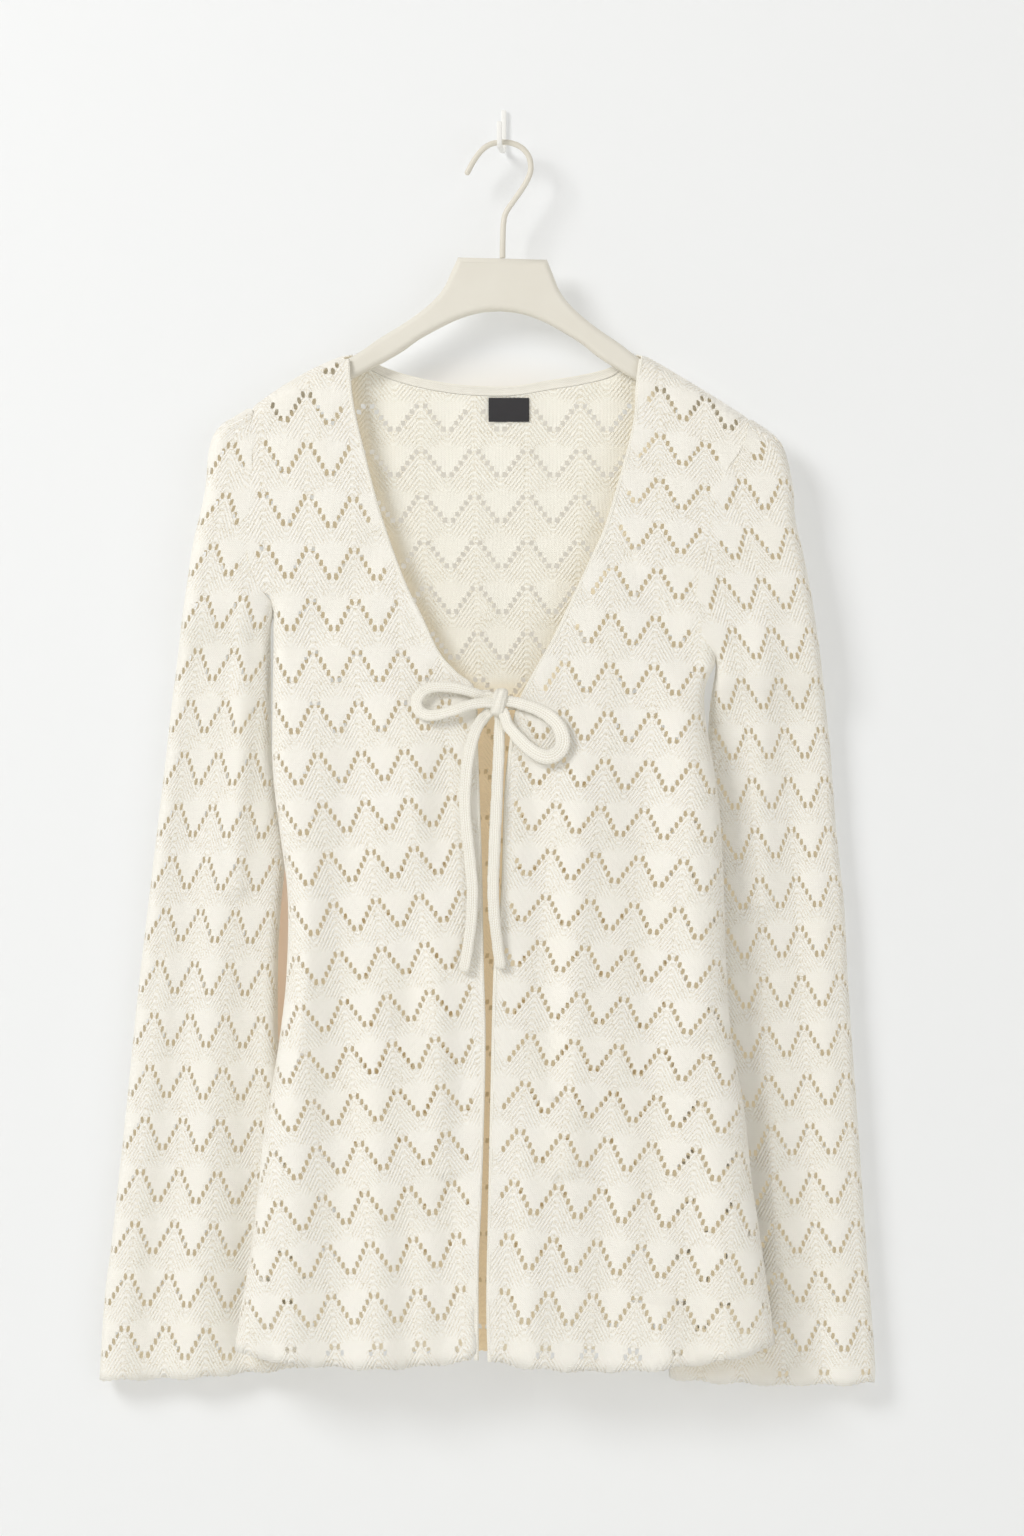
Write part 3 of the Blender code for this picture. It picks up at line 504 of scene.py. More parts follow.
# the lace's own grid: columns p and cells q on the flat cut
def laceGrid(spec):
    level = np.arange(*repeat["levels"])
    cells = readTable(spec["cell"])(level)
    rows = np.cumsum(1 / cells)
    rows += spec["peak"][1] - np.interp(spec["z"], level, rows)
    drift = np.cumsum(readTable(spec["lean"])(level))
    drift -= np.interp(spec["z"], level, drift)
    width, slope = readTable(spec["width"]), readTable(spec["slope"])
    around = "sleeve" in spec["name"]

    def toCloth(p, q):
        z = np.interp(q, rows, level)
        u = spec["x"] + (p - spec["peak"][0]) * width(z) + np.interp(z, level, drift)
        if around:
            u = (p - foldAt) * width(z)
        across = np.abs(u) if around else u - spec["middle"]
        return u, z + slope(z) * across

    def toGrid(u, v):
        across = np.abs(u) if around else u - spec["middle"]
        z = v.copy()
        for _ in range(8):  # the slope at the height itself, found by rounds
            z = v - slope(z) * across
        if around:
            p = foldAt + u / width(z)
        else:
            p = spec["peak"][0] + (u - spec["x"] - np.interp(z, level, drift)) / width(z)
        return p, np.interp(z, level, rows)

    foldAt = spec["peak"][0] + 2 * repeat["columns"] - spec["x"] / float(width(spec["z"]))
    return toCloth, toGrid


def nearestOn(points, ring):
    best = np.full(len(points), 1e9)
    place = points.copy()
    index = np.zeros(len(points), int)
    for k, (a, b) in enumerate(zip(ring, np.roll(ring, -1, axis=0))):
        along = b - a
        t = np.clip(((points - a) @ along) / max(along @ along, 1e-12), 0, 1)
        on = a + t[:, None] * along
        gap = ((points - on) ** 2).sum(axis=1)
        closer = gap < best
        best = np.where(closer, gap, best)
        place[closer] = on[closer]
        index[closer] = k
    return place, np.sqrt(best), index


def isInside(points, ring):
    inside = np.zeros(len(points), bool)
    for (x0, y0), (x1, y1) in zip(ring, np.roll(ring, -1, axis=0)):
        if y0 != y1:
            crosses = (y0 > points[:, 1]) != (y1 > points[:, 1])
            inside ^= crosses & (points[:, 0] < x0 + (x1 - x0) * (points[:, 1] - y0) / (y1 - y0))
    return inside


def laceZones(p, q):
    # share of the loose ribbed ground, height of the relief in mm, and the ribs' count
    columns, half = repeat["columns"], repeat["columns"] / 2
    turns = (p - repeat["peak"]) / columns
    across = np.abs(turns - np.round(turns)) * columns
    high = ((q + 0.5) % repeat["cells"]) - 0.5
    line = repeat["foot"] - across
    arch = repeat["arch"] + repeat["archRise"] * (1 - ((half - across) / half) ** 2)
    plain = ease((high - line) / repeat["lineSoft"]) * ease((arch - high) / repeat["archSoft"])
    puff = np.sin(pi * np.clip((high - line) / np.maximum(arch - line, repeat["least"]), 0, 1))
    ridge = np.exp(-((high - arch) / repeat["ridgeWidth"]) ** 2) * ease(across / repeat["ridgeGrows"])
    return 1 - plain, repeat["puff"] * puff * plain + repeat["ridge"] * ridge, q + across


def knitSheet(name, cut, place, flip=False, sixSided=False):
    # cut is the outline, and between which of its points the edge stays free of eyelets
    outline, (plainFrom, plainTo) = cut
    spec = {**lace["each"], **lace[name], "name": name}
    toCloth, toGrid = laceGrid(spec)
    ring = np.stack(toGrid(outline[:, 0], outline[:, 1]), axis=1)
    hemRow = ring[:, 1].min() + knitEdge["hemRows"]
    low, high = np.floor(ring.min(axis=0)) - 1, np.ceil(ring.max(axis=0)) + 1
    count = (high - low).astype(int)
    bm = bmesh.new()
    bmesh.ops.create_grid(bm, x_segments=int(count[0]), y_segments=int(count[1]), size=0.5)
    middle = (low + high) / 2
    margin = bm.verts.layers.float.new("margin")
    for vert in bm.verts:
        vert.co = (vert.co.x * count[0] + middle[0], vert.co.y * count[1] + middle[1], 0)
    points = np.array([vert.co[:2] for vert in bm.verts])
    near, gap, index = nearestOn(points, ring)
    plain = (index >= plainFrom) & (index < plainTo)
    keep = isInside(points, ring) & (gap > knitEdge["gap"])
    verts = list(bm.verts)
    for vert, distance in zip(verts, np.where(plain, gap - eyelet["plainEdge"], gap)):
        vert[margin] = distance
    snap = dict(zip(verts, near))
    bmesh.ops.delete(bm, geom=[v for v, kept in zip(verts, keep) if not kept], context="VERTS")
    loose = [v for v in bm.verts if not v.link_faces]
    bmesh.ops.delete(bm, geom=loose, context="VERTS")
    for vert in bm.verts:
        if vert.is_boundary:
            vert.co = (*snap[vert], 0)
            if vert.co.y < hemRow:
                turn = 2 * pi * (vert.co.x - 0.5) / repeat["columns"]
                vert.co.y += knitEdge["rise"] * cos(pi * round(vert.co.x))
                vert.co.y -= cloth["scallop"] / 4 * cos(turn)

    # eyelets: cells that are opened, leaning across their leg of the zigzag
    holes = []
    for face in bm.faces:
        centre = face.calc_center_median()
        cell = (floor(centre.x), floor(centre.y))
        inner = all(v[margin] > eyelet["clear"] and not v.is_boundary for v in face.verts)
        if inner and (cell[0] % repeat["columns"], cell[1] % repeat["cells"]) in eyelet["cells"]:
            holes.append((face, cell))
    cut = {edge for face, cell in holes for edge in face.edges}
    if sixSided:
        cut = {e for e in cut if abs(e.verts[0].co.x - e.verts[1].co.x) < 0.5}
    bmesh.ops.bisect_edges(bm, edges=list(cut), cuts=1)
    bmesh.ops.inset_individual(bm, faces=[face for face, cell in holes], thickness=eyelet["rim"])
    for face, cell in holes:
        lean = 1 if cell[0] % repeat["columns"] < repeat["columns"] / 2 else -1
        wider, taller = eyelet["stretch"]
        footX, footY = eyelet["valley"] if cell[1] % repeat["cells"] == 0 else (0, 0)
        corners = {(-lean, 1): (-(0.5 + wider) * lean, 0.5 + taller),
                   (lean, -1): ((0.5 + wider) * lean, -0.5 - taller),
                   (lean, 1): (0.5 * lean, 0.5),
                   (-lean, -1): (-(0.5 + footX) * lean, -0.5 - footY)}
        middle = Vector((cell[0] + 0.5, cell[1] + 0.5, 0))

        def spot(a, b, share):
            total = Vector((0, 0, 0))
            for (i, j), (dx, dy) in corners.items():
                total += Vector((dx, dy, 0)) * (1 + a * share * i) * (1 + b * share * j) / 4
            return middle + total

        outer = {v for edge in face.edges for side in edge.link_faces for v in side.verts}
        for vert in outer:
            ahead = vert.co - middle
            inside = vert in face.verts
            reach = 0.5 - eyelet["rim"] if inside else 0.5
            a = max(-1, min(1, round(ahead.x / reach)))
            b = max(-1, min(1, round(ahead.y / reach)))
            share = (eyelet["corner"] if a and b else eyelet["side"]) if inside else 1.0
            snap[vert] = spot(a, b, share)
        for vert in outer:
            vert.co = snap[vert]
    bmesh.ops.delete(bm, geom=[face for face, cell in holes], context="FACES_ONLY")
    bm.verts.index_update()
    for edge in bm.edges:
        if edge.is_boundary and min(v.co.y for v in edge.verts) > hemRow:
            edge.smooth = False  # a seam lies flat, without a rounded rim

    # from the flat grid into place
    points = np.array([vert.co[:2] for vert in bm.verts])
    u, v = toCloth(points[:, 0], points[:, 1])
    loosely, relief, ribs = laceZones(points[:, 0], points[:, 1])
    spots = place(u, v, relief) * mm
    layers = [bm.verts.layers.float.new(what) for what in ("ribs", "loose", "paintedShade")]
    # amount of painted shade on the inner side: 1 on every piece but the back, where shadedBack paints the
    # light of the V neck
    paintedShadeAmount = shadedBack(spots / mm) if name == "back" else np.ones(len(spots))
    for vert, where, *values in zip(bm.verts, spots, ribs, loosely, paintedShadeAmount):
        vert.co = where
        for layer, value in zip(layers, values):
            vert[layer] = value
    layUv(bm, dict(zip(bm.verts, points)))
    if flip:
        bmesh.ops.reverse_faces(bm, faces=bm.faces)
    obj = finishPiece(name + "_knit", bm, [knitOuter, knitInner])
    thick = obj.modifiers.new("Wall", "SOLIDIFY")
    thick.thickness = cloth["wall"] * mm
    thick.offset = 0.0
    thick.material_offset = 1
    # what was cut: its box and its area
    span = outline.max(axis=0) - outline.min(axis=0)
    turned = np.roll(outline, -1, axis=0)
    area = abs((outline[:, 0] * turned[:, 1] - turned[:, 0] * outline[:, 1]).sum()) / 2
    print(name, "eyelets", len(holes), "cut", [round(s) for s in span], "mm, area", round(area), "mm2")
    return obj, (span[0] * mm, span[1] * mm), area * mm * mm


def shadedBack(spots):
    # painted shade for the back's inner side: 0 where the V neck lets the light in, 1 in the shade under the
    # fronts, more for the warmer painted shadow where the slit leaves it bare
    x, z = spots[:, 0], spots[:, 2]
    (left, overLeft), (right, overRight) = neckLight["left"], neckLight["right"]
    fromLeft, fromRight = x - openX["left"](z), openX["right"](z) - x
    inside = np.minimum((fromLeft + left) / overLeft, (fromRight + right) / overRight)
    lit = ease(inside) * ease((z + neckLight["end"][0]) / neckLight["end"][1])
    # the warmer painted shadow where the slit leaves the back bare
    edge, (start, over) = neckLight["slitShadeEdge"], neckLight["slitShadeEnd"]
    slitShade = ease((np.minimum(fromLeft, fromRight) + edge) / edge) * ease((-start - z) / over)
    return 1 - lit + neckLight["slitShade"] * slitShade


# materials; a MapRange node's inputs are 0 the value, 1 and 2 from where to where, 3 and 4 to what
def knitMaterial(name, stitches, colours):
    # fine cotton and viscose knit: matte, slightly fuzzy, with small V stitches that catch the light, in
    # bump and in painted light and shade
    made, tree, shader = newMaterial(name, {"Roughness": 0.88, "Sheen Weight": 0.12, "Sheen Roughness": 0.5,
                                            "Specular IOR Level": 0.25})
    uv = addNode(tree, "UVMap", {}, uv_map="stitches")
    scaled = addNode(tree, "VectorMath", {0: uv, 1: (*stitches, 1)}, operation="MULTIPLY")
    column = addNode(tree, "SeparateXYZ", {0: scaled})
    across = addNode(tree, "Math", {0: column, 1: 0.5}, operation="PINGPONG")
    slant = addNode(tree, "Math", {0: across, 1: 1.1, 2: column.node.outputs[1]}, operation="MULTIPLY_ADD")
    waves = {"loops": slant, "legs": across}
    if "pitShade" in colours:
        waves["ribs"] = addNode(tree, "Attribute", {}, "Fac", attribute_name="ribs")
    for what, value in waves.items():
        turn = addNode(tree, "Math", {0: value, 1: 2 * pi}, operation="MULTIPLY")
        waves[what] = addNode(tree, "Math", {0: turn}, operation="SINE")
    height = addNode(tree, "Math", {0: waves["loops"], 1: 0.3, 2: waves["legs"]}, operation="MULTIPLY_ADD")
    place = addNode(tree, "TexCoord", {}, "Object")
    patches = addNode(tree, "TexNoise", {"Vector": place, "Scale": 26.0, "Detail": 3.0})
    fuzz = addNode(tree, "TexNoise", {"Vector": place, "Scale": 900.0, "Detail": 2.0})
    layers = [(addNode(tree, "MapRange", {0: patches, 1: 0.35, 2: 0.7, 4: 0.5}), "patches")]
    if "pitShade" in colours:
        # the loose ground has ribs along the zigzag, and pits between its loops painted as dark specks of
        # shade
        ground = addNode(tree, "Attribute", {}, "Fac", attribute_name="loose")
        shown = addNode(tree, "Math", {0: waves["ribs"], 1: ground}, operation="MULTIPLY")
        height = addNode(tree, "Math", {0: shown, 1: 1.1, 2: height}, operation="MULTIPLY_ADD")
        specks = addNode(tree, "TexNoise", {"Vector": place, "Scale": 950.0, "Detail": 1.0})
        dots = addNode(tree, "MapRange", {0: specks, 1: 0.43, 2: 0.33, 4: 0.6})
        layers.append((addNode(tree, "Math", {0: dots, 1: ground}, operation="MULTIPLY"), "pitShade"))
    if "insideShade" in colours:
        # painted shade on the side that faces the hollow, where light comes only through the knit, with a
        # warmer painted shadow where the slit leaves it bare, and a painted glow
        paintedShade = addNode(tree, "Attribute", {}, "Fac", attribute_name="paintedShade")
        # a warmer painted shadow where the slit leaves the back bare
        slitShade = addNode(tree, "MapRange", {0: paintedShade, 1: 1.0, 2: 1.0 + neckLight["slitShade"]})
        layers += [(paintedShade, "insideShade"), (slitShade, "slitShade")]
        # painted glow: the inner side gives off light, standing for the light that comes through the knit
        paintedGlow = addNode(tree, "Math", {0: paintedShade, 1: 0.35}, operation="MULTIPLY")
        setInputs(shader, {"Emission Strength": paintedGlow, "Emission Color": srgb(colours["paintedGlow"])})
    # painted shade and light: the sunken parts of the stitches are coloured darker, the raised ones lighter
    light = addNode(tree, "MapRange", {0: height, 1: -0.9, 2: 1.2})
    tone = addNode(tree, "Mix", {0: light, 6: srgb(colours["sunkenShade"]), 7: srgb(colours["raisedLit"])}, 2,
                   data_type="RGBA")
    for share, what in layers:
        tone = addNode(tree, "Mix", {0: share, 6: tone, 7: srgb(colours[what])}, 2, data_type="RGBA")
    fuzzed = addNode(tree, "Math", {0: fuzz, 1: 0.35, 2: height}, operation="MULTIPLY_ADD")
    bump = addNode(tree, "Bump", {"Height": fuzzed, "Strength": 0.6, "Distance": 0.0004})
    setInputs(shader, {"Base Color": tone, "Normal": bump})
    return made


def paintMaterial(name, colour, second, roughness, grain):
    # smooth sprayed paint: even, with a faint tone and the slightest orange peel
    made, tree, shader = newMaterial(name, {"Roughness": roughness, "Specular IOR Level": 0.4})
    place = addNode(tree, "TexCoord", {}, "Object")
    wide = addNode(tree, "TexNoise", {"Vector": place, "Scale": 18.0, "Detail": 4.0})
    share = addNode(tree, "MapRange", {0: wide, 1: 0.3, 2: 0.75})
    tone = addNode(tree, "Mix", {0: share, 6: srgb(colour), 7: srgb(second)}, 2, data_type="RGBA")
    peel = addNode(tree, "TexNoise", {"Vector": place, "Scale": grain, "Detail": 2.0})
    bump = addNode(tree, "Bump", {"Height": peel, "Strength": 0.12, "Distance": 0.0002})
    setInputs(shader, {"Base Color": tone, "Normal": bump})
    return made


print("materials")
# the sunken and raised colours paint the stitches' shade and light
knitOuter = knitMaterial("pointelle knit", (1.6, 2.9), {
    "raisedLit": "#FFFEF9", "sunkenShade": "#F0EADC", "patches": "#FBF8EE", "pitShade": "#D6CAAF"})
# the inner side: painted shade, a warmer painted shadow at the slit and a painted glow
knitInner = knitMaterial("pointelle knit, inner side, painted shade and glow", (1.6, 2.9), {
    "raisedLit": "#FFFEF6", "sunkenShade": "#EDE7D7", "patches": "#F8F5EA", "pitShade": "#D8CDB3",
    "insideShade": "#D6CEBB", "slitShade": "#CDB388", "paintedGlow": "#CDC3AC"})
knitPlain = knitMaterial("plain knit band", (1.0, 1.0), {
    "raisedLit": "#FFFEF8", "sunkenShade": "#C9BFA6", "patches": "#FAF7EC"})
paintHanger = paintMaterial("matte painted wood", "#E1DED4", "#DBD7CC", 0.62, 900.0)
paintWire = paintMaterial("painted wire", "#DEDACF", "#D3CEC1", 0.42, 1500.0)
paintWhite = paintMaterial("white painted steel", "#F2F2F0", "#EBEBE8", 0.4, 1500.0)

print("knitted panels")
made = {}
for which in ("left", "right"):
    made["front_" + which] = knitSheet(
        "front_" + which, frontOutline(which),
        lambda u, v, relief, part=which: bodyPlace(u, v, part, relief))
    made["sleeve_" + which] = knitSheet(
        "sleeve_" + which, sleeveOutline(which),
        lambda u, v, relief, part=which: sleevePlace(u, v, part, relief), flip=which == "right")
made["back"] = knitSheet("back", backOutline(), lambda u, v, relief: bodyPlace(u, v, "back", relief),
                         flip=True, sixSided=True)
for name, (piece, flat, area) in made.items():
    standFor(piece, "back_panel" if name == "back" else name)

# bands and ties: a flat tube along a line, in metres
# squareness of its section, width of the furrow, least width at a tip, size of its loops, coarser than the
# yarn so that they show, and the length over which its width changes
band = {"square": 0.8, "furrow": 0.11, "tip": 0.55, "loop": (2.0 * mm, 1.8 * mm), "changes": 5 * mm}


def tape(name, path, width, thick, ringStep, sides=20, furrow=0.0, stitch=0.0, tips=(0.0, 0.0),
         spread=0.0, uneven=0.0):
    marks = distances(path)
    rings = max(4, round(marks[-1] / ringStep))
    at = np.linspace(0, marks[-1], rings + 1)
    line = np.stack([np.interp(at, marks, path[:, k]) for k in range(3)], axis=1)
    along = heading(line)
    side = np.cross(along, [0, 1.0, 0])
    side /= np.linalg.norm(side, axis=1)[:, None]
    out = np.cross(side, along)
    bm = bmesh.new()
    bmesh.ops.create_grid(bm, x_segments=sides, y_segments=rings, size=0.5)
    places = {}
    for vert in bm.verts:
        k, ring = round((vert.co.x + 0.5) * sides), round((vert.co.y + 0.5) * rings)
        angle = 2 * pi * k / sides
        c, s = cos(angle), sin(angle)
        w = copysign(abs(c) ** band["square"], c) * width / 2
        w *= 1 + spread * sin(pi * ring / rings) ** 2
        d = copysign(abs(s) ** band["square"], s) * thick / 2
        d *= 1 - furrow * exp(-(w / (width * band["furrow"])) ** 2)
        swell = 1 + stitch * cos(2 * pi * at[ring] / band["loop"][1])
        swell *= 1 + uneven * noise.noise(Vector((at[ring] / band["changes"], c * 0.8, s * 0.8)))
        for tip, gap in zip(tips, (at[ring], marks[-1] - at[ring])):
            if tip and gap < tip:
                swell *= band["tip"] + (1 - band["tip"]) * sin(pi / 2 * gap / tip)
        places[vert] = (k / sides * 2 * (width + thick) / band["loop"][0], at[ring] / band["loop"][1])
        vert.co = Vector(line[ring] + side[ring] * w * swell + out[ring] * d * swell)
    layUv(bm, places)
    bmesh.ops.remove_doubles(bm, verts=bm.verts, dist=0.00001)
    bmesh.ops.holes_fill(bm, edges=[e for e in bm.edges if e.is_boundary], sides=0)
    bmesh.ops.recalc_face_normals(bm, faces=bm.faces)
    return finishPiece(name, bm, [knitPlain]), marks[-1]


# the ties: sizes in metres, and their lines in mm, each as x, y and z
ties = {
    "diameter": 0.0084, "thick": 0.0034, "stubWidth": 0.0044, "stubThick": 0.0018, "ringStep": 0.0009,
    "furrow": 0.4, "stitch": 0.05, "tip": 0.003, "uneven": 0.09,
    "width": {"loop_left": 0.0068, "loop_right": 0.0076, "tail_left": 0.0076, "tail_right": 0.0074},
    "spread": {"loop_left": 0.12, "loop_right": 0.32, "tail_left": 0.06, "tail_right": 0.06},
    "loop_left": [(-6, -42.2, -378.5), (-9.3, -41.8, -377.4), (-13.4, -41.8, -377.3), (-20, -42.6, -375),
        (-28.6, -43.2, -372.4), (-38, -43.6, -371), (-47, -44, -371.4), (-54, -44.8, -374.8),
        (-57.4, -45.8, -380.8), (-55.4, -46.8, -387), (-49, -47.4, -389.8), (-41, -47.8, -388.8),
        (-32, -47.8, -386.2), (-22.6, -47.2, -383), (-14, -46.6, -381.5), (-9.3, -46.2, -381.4),
        (-6, -45.2, -381.8)],
    "loop_right": [(-0.4, -43.6, -380), (3, -44, -380.6), (6.8, -44.1, -381.1), (11.4, -44.7, -382.2),
        (20, -45.2, -385), (29, -46, -389.8), (35.8, -47.4, -396.6), (38.8, -49.4, -405),
        (36.6, -50.8, -413), (29.4, -51.4, -417), (21, -51.2, -414.6), (13.6, -50.4, -409),
        (7.6, -49.2, -402.4), (3.4, -47.6, -397.4), (1.8, -47, -394), (0.6, -46.2, -390.4),
        (-1.4, -44.8, -386.6)],
    "tail_left": [(-6.2, -42.4, -384.6), (-9.8, -42.6, -387.4), (-12.3, -42.8, -390.1),
        (-15.2, -45.8, -393.8), (-17.8, -47.8, -398.2), (-20.6, -49.2, -406), (-22.8, -50.6, -416),
        (-24.8, -51.6, -431), (-25.6, -52.2, -447), (-24.4, -52.6, -464), (-22.4, -53, -482),
        (-20.8, -53.4, -499), (-20.6, -53.7, -514), (-21.8, -54, -530), (-24, -54.3, -545),
        (-26.4, -54.6, -558)],
    "tail_right": [(-3.4, -42.4, -386.6), (-2.8, -41.9, -390.6), (-2.6, -41.9, -394), (-3, -44, -403),
        (-3.5, -47, -416), (-4.1, -49.4, -431), (-4.8, -51, -446), (-5.5, -52, -461), (-6.2, -52.6, -477),
        (-6.8, -53.1, -492), (-7, -53.6, -507), (-6.2, -54, -522), (-4.4, -54.3, -538), (-2, -54.6, -556)],
    "stub_left": [(-18.4, -38.4, -374.8), (-15, -38.4, -375), (-12, -38.4, -375), (-9.1, -38.4, -375)],
    "stub_right": [(8.3, -38.6, -384), (6.4, -38.6, -384), (4.6, -38.6, -384), (2.7, -38.6, -384)],
}
print("ties")
for name, width in ties["width"].items():
    line = smoothLine(ties[name], 6) * mm
    piece, length = tape("tie_" + name + "_knit", line, width, ties["thick"], ties["ringStep"],
                         furrow=ties["furrow"], stitch=ties["stitch"], spread=ties["spread"][name],
                         tips=(0.0, ties["tip"] if "tail" in name else 0.0), uneven=ties["uneven"])
    standFor(piece, "tie_" + name)
    print(name, round(length, 3), "m")
for name in ("stub_left", "stub_right"):
    piece, length = tape("tie_" + name + "_knit", smoothLine(ties[name], 4) * mm, ties["stubWidth"],
                         ties["stubThick"], ties["ringStep"])
    standFor(piece, "tie_" + name)

# the knot: a wrap of the tape, pinched, with two slanting creases, each at, slant and depth
knot = {"centre": (-3.2, -43.0, -381.0), "size": (10.8, 12.0, 18.4), "slant": 0.34, "square": 0.72,
        "creases": [(-0.32, 0.3, 1.1), (0.36, 0.16, 0.9)], "creaseWidth": 0.16, "creaseDepth": 0.13,
        "pinch": 0.1, "stitches": (4.2, 7)}
bm = bmesh.new()
bmesh.ops.create_uvsphere(bm, u_segments=56, v_segments=40, radius=1.0)
places = {}
for vert in bm.verts:
    x, y, z = vert.co
    places[vert] = (atan2(y, x) * knot["stitches"][0], z * knot["stitches"][1])
    groove = sum(deep * exp(-((x - at - slant * z) / knot["creaseWidth"]) ** 2)
                 for at, slant, deep in knot["creases"])
    x, y, z = [copysign(abs(c) ** knot["square"], c) for c in (x, y, z)]
    pinch = 1 - knot["pinch"] * cos(vert.co.z * pi)
    formed = (x * pinch + z * knot["slant"], y * (1 - knot["creaseDepth"] * groove) * pinch, z)
    vert.co = Vector([(c + s * h / 2) * mm for c, s, h in zip(knot["centre"], formed, knot["size"])])
layUv(bm, places)
standFor(finishPiece("tie_knot_knit", bm, [knitPlain]), "tie_knot")

print("bands")
edgeBand = {"width": 3.1 * mm, "thick": 2.0 * mm, "ringStep": 0.95 * mm, "sunk": 0.1, "top": -152.5}
for which in ("left", "right"):
    away = 1 if which == "left" else -1
    edge = offsetLine(smoothLine(cloth["opening"][which]), away * cloth["bandWidth"])
    flat = layFlat(edge[:, 0], edge[:, 1], which)
    depth = bodyPlace(flat[:, 0], flat[:, 1], which)[:, 1] + edgeBand["sunk"]
    line = np.stack([edge[:, 0], depth, edge[:, 1]], axis=1)
    line = line[line[:, 2] < edgeBand["top"]] * mm
    piece, length = tape("edge_band_" + which + "_knit", line, edgeBand["width"], edgeBand["thick"],
                         edgeBand["ringStep"], sides=12, stitch=ties["stitch"])
    standFor(piece, "edge_band_" + which)

# the band of the back neck, lower towards its ends, slightly rolled
neckBand = {"height": 6.3, "wall": 2.0, "clearance": 0.3, "grid": (220, 8), "stitch": 1.45, "rows": 4.7,
            "endHeight": 0.4, "endOver": 9, "roll": 0.5, "round": 0.6}
edge = smoothLine(cloth["neckBack"], 14)
marks = distances(edge)
bm = bmesh.new()
bmesh.ops.create_grid(bm, x_segments=neckBand["grid"][0], y_segments=neckBand["grid"][1], size=0.5)
places = {}
for vert in bm.verts:
    along, up = (vert.co.x + 0.5) * marks[-1], vert.co.y + 0.5
    x, z = np.interp(along, marks, edge[:, 0]), np.interp(along, marks, edge[:, 1])
    fade = min(1.0, neckBand["endHeight"] + min(along, marks[-1] - along) / neckBand["endOver"])
    places[vert] = (along / neckBand["stitch"], up * neckBand["rows"])
    flat = layFlat(np.array([x]), np.array([z]), "left" if x < 0 else "right")
    y = bodyPlace(flat[:, 0], flat[:, 1], "back")[0, 1] + neckBand["roll"] * sin(up * pi) ** 2
    vert.co = Vector((x, y, z + neckBand["clearance"] + neckBand["height"] * up * fade)) * mm
layUv(bm, places)
piece = finishPiece("neck_band_knit", bm, [knitPlain])
thick = piece.modifiers.new("Wall", "SOLIDIFY")
thick.thickness, thick.offset = neckBand["wall"] * mm, 0.0
soft = piece.modifiers.new("Round", "BEVEL")
soft.width, soft.segments = neckBand["round"] * mm, 2
soft.limit_method, soft.angle_limit = "ANGLE", radians(50)
standFor(piece, "neck_band")

print("label")
label = {"size": (27.0, 0.7, 16.0), "centre": (3.2, -16.9, -186.2), "wave": 0.054, "curl": 0.105,
         "round": 0.2 * mm}
# damask label: fine ribs, soft shine
blackWoven, tree, shader = newMaterial("black woven satin label", {"Roughness": 0.6, "Sheen Weight": 0.2})
place = addNode(tree, "TexCoord", {}, "Object")
ribbed = addNode(tree, "TexWave", {"Vector": place, "Scale": 1000.0, "Distortion": 0.4}, 1,
                 bands_direction="Z")
shade = addNode(tree, "Mix", {0: ribbed, 6: srgb("#17161A"), 7: srgb("#2A282C")}, 2, data_type="RGBA")
bump = addNode(tree, "Bump", {"Height": ribbed, "Strength": 0.4, "Distance": 0.0001})
setInputs(shader, {"Base Color": shade, "Normal": bump})
bm = bmesh.new()
bmesh.ops.create_cube(bm, size=1.0)
bmesh.ops.subdivide_edges(bm, edges=[e for e in bm.edges if abs(e.verts[0].co.x - e.verts[1].co.x) > 0.5],
                          cuts=12, use_grid_fill=True)
for vert in bm.verts:
    x, y, z = vert.co
    vert.co = Vector([(c + v * s) * mm for c, v, s in zip(label["centre"], (x, y, z), label["size"])])
    lifted = label["wave"] * sin(x * 7 + 1) + (label["curl"] if abs(x) > 0.49 and y < 0 else 0)
    vert.co.y -= lifted * mm
bmesh.ops.bevel(bm, geom=bm.edges[:], offset=label["round"], affect="EDGES", segments=2, profile=0.5,
                material=-1)
standFor(finishPiece("neck_label_woven", bm, [blackWoven]), "neck_label")

print("hanger and hooks")
hanger = {"y": -24.0, "x": -1.0, "thick": 11.4, "tilt": 1.5, "edge": 3.9, "wire": 3.8,
          "top": [(29.5, -86.7), (33.5, -96), (37.8, -106), (43.5, -114), (53, -123), (66, -132.6),
              (80, -141.6), (91, -149.8), (101.3, -156.2), (110, -161.4), (123, -168.2), (141, -177.6),
              (157, -187.4), (162.5, -192.5), (164.5, -197)],
          "under": [(164, -203), (160, -205.5), (149, -199), (120, -181), (100, -170.5), (68, -152),
              (54.5, -142), (41, -134), (27, -127), (13, -122.7), (0, -121.4)],
          "line": [(-1, -86.2), (-0.8, -74), (-0.3, -62.7), (1.6, -55.4), (7.9, -46.2), (14.3, -36.6),
              (17.6, -28.4), (16.8, -19.8), (12.2, -13.4), (5.3, -10), (-2.2, -9.4), (-9.2, -10.8),
              (-15, -15), (-20, -21.6), (-24.4, -29.7)],
          "tip": {"rings": 3, "step": 0.5, "length": 3.2}}  # the wire's free end, rounded
half = smoothLine(hanger["top"] + hanger["under"], 4)
level = hanger["top"][0][1]
outline = [(x, z - level) for x, z in half] + [(-x, z - level) for x, z in half[-2::-1]]
shape, curve, spline = polyCurve("hanger outline", [(u * mm, v * mm, 0) for u, v in outline], "2D",
                                 hanger["edge"] * mm, 5)
curve.fill_mode, curve.offset = "BOTH", -hanger["edge"] * mm
curve.extrude = (hanger["thick"] / 2 - hanger["edge"]) * mm
spline.use_cyclic_u = True
bpy.context.view_layer.update()
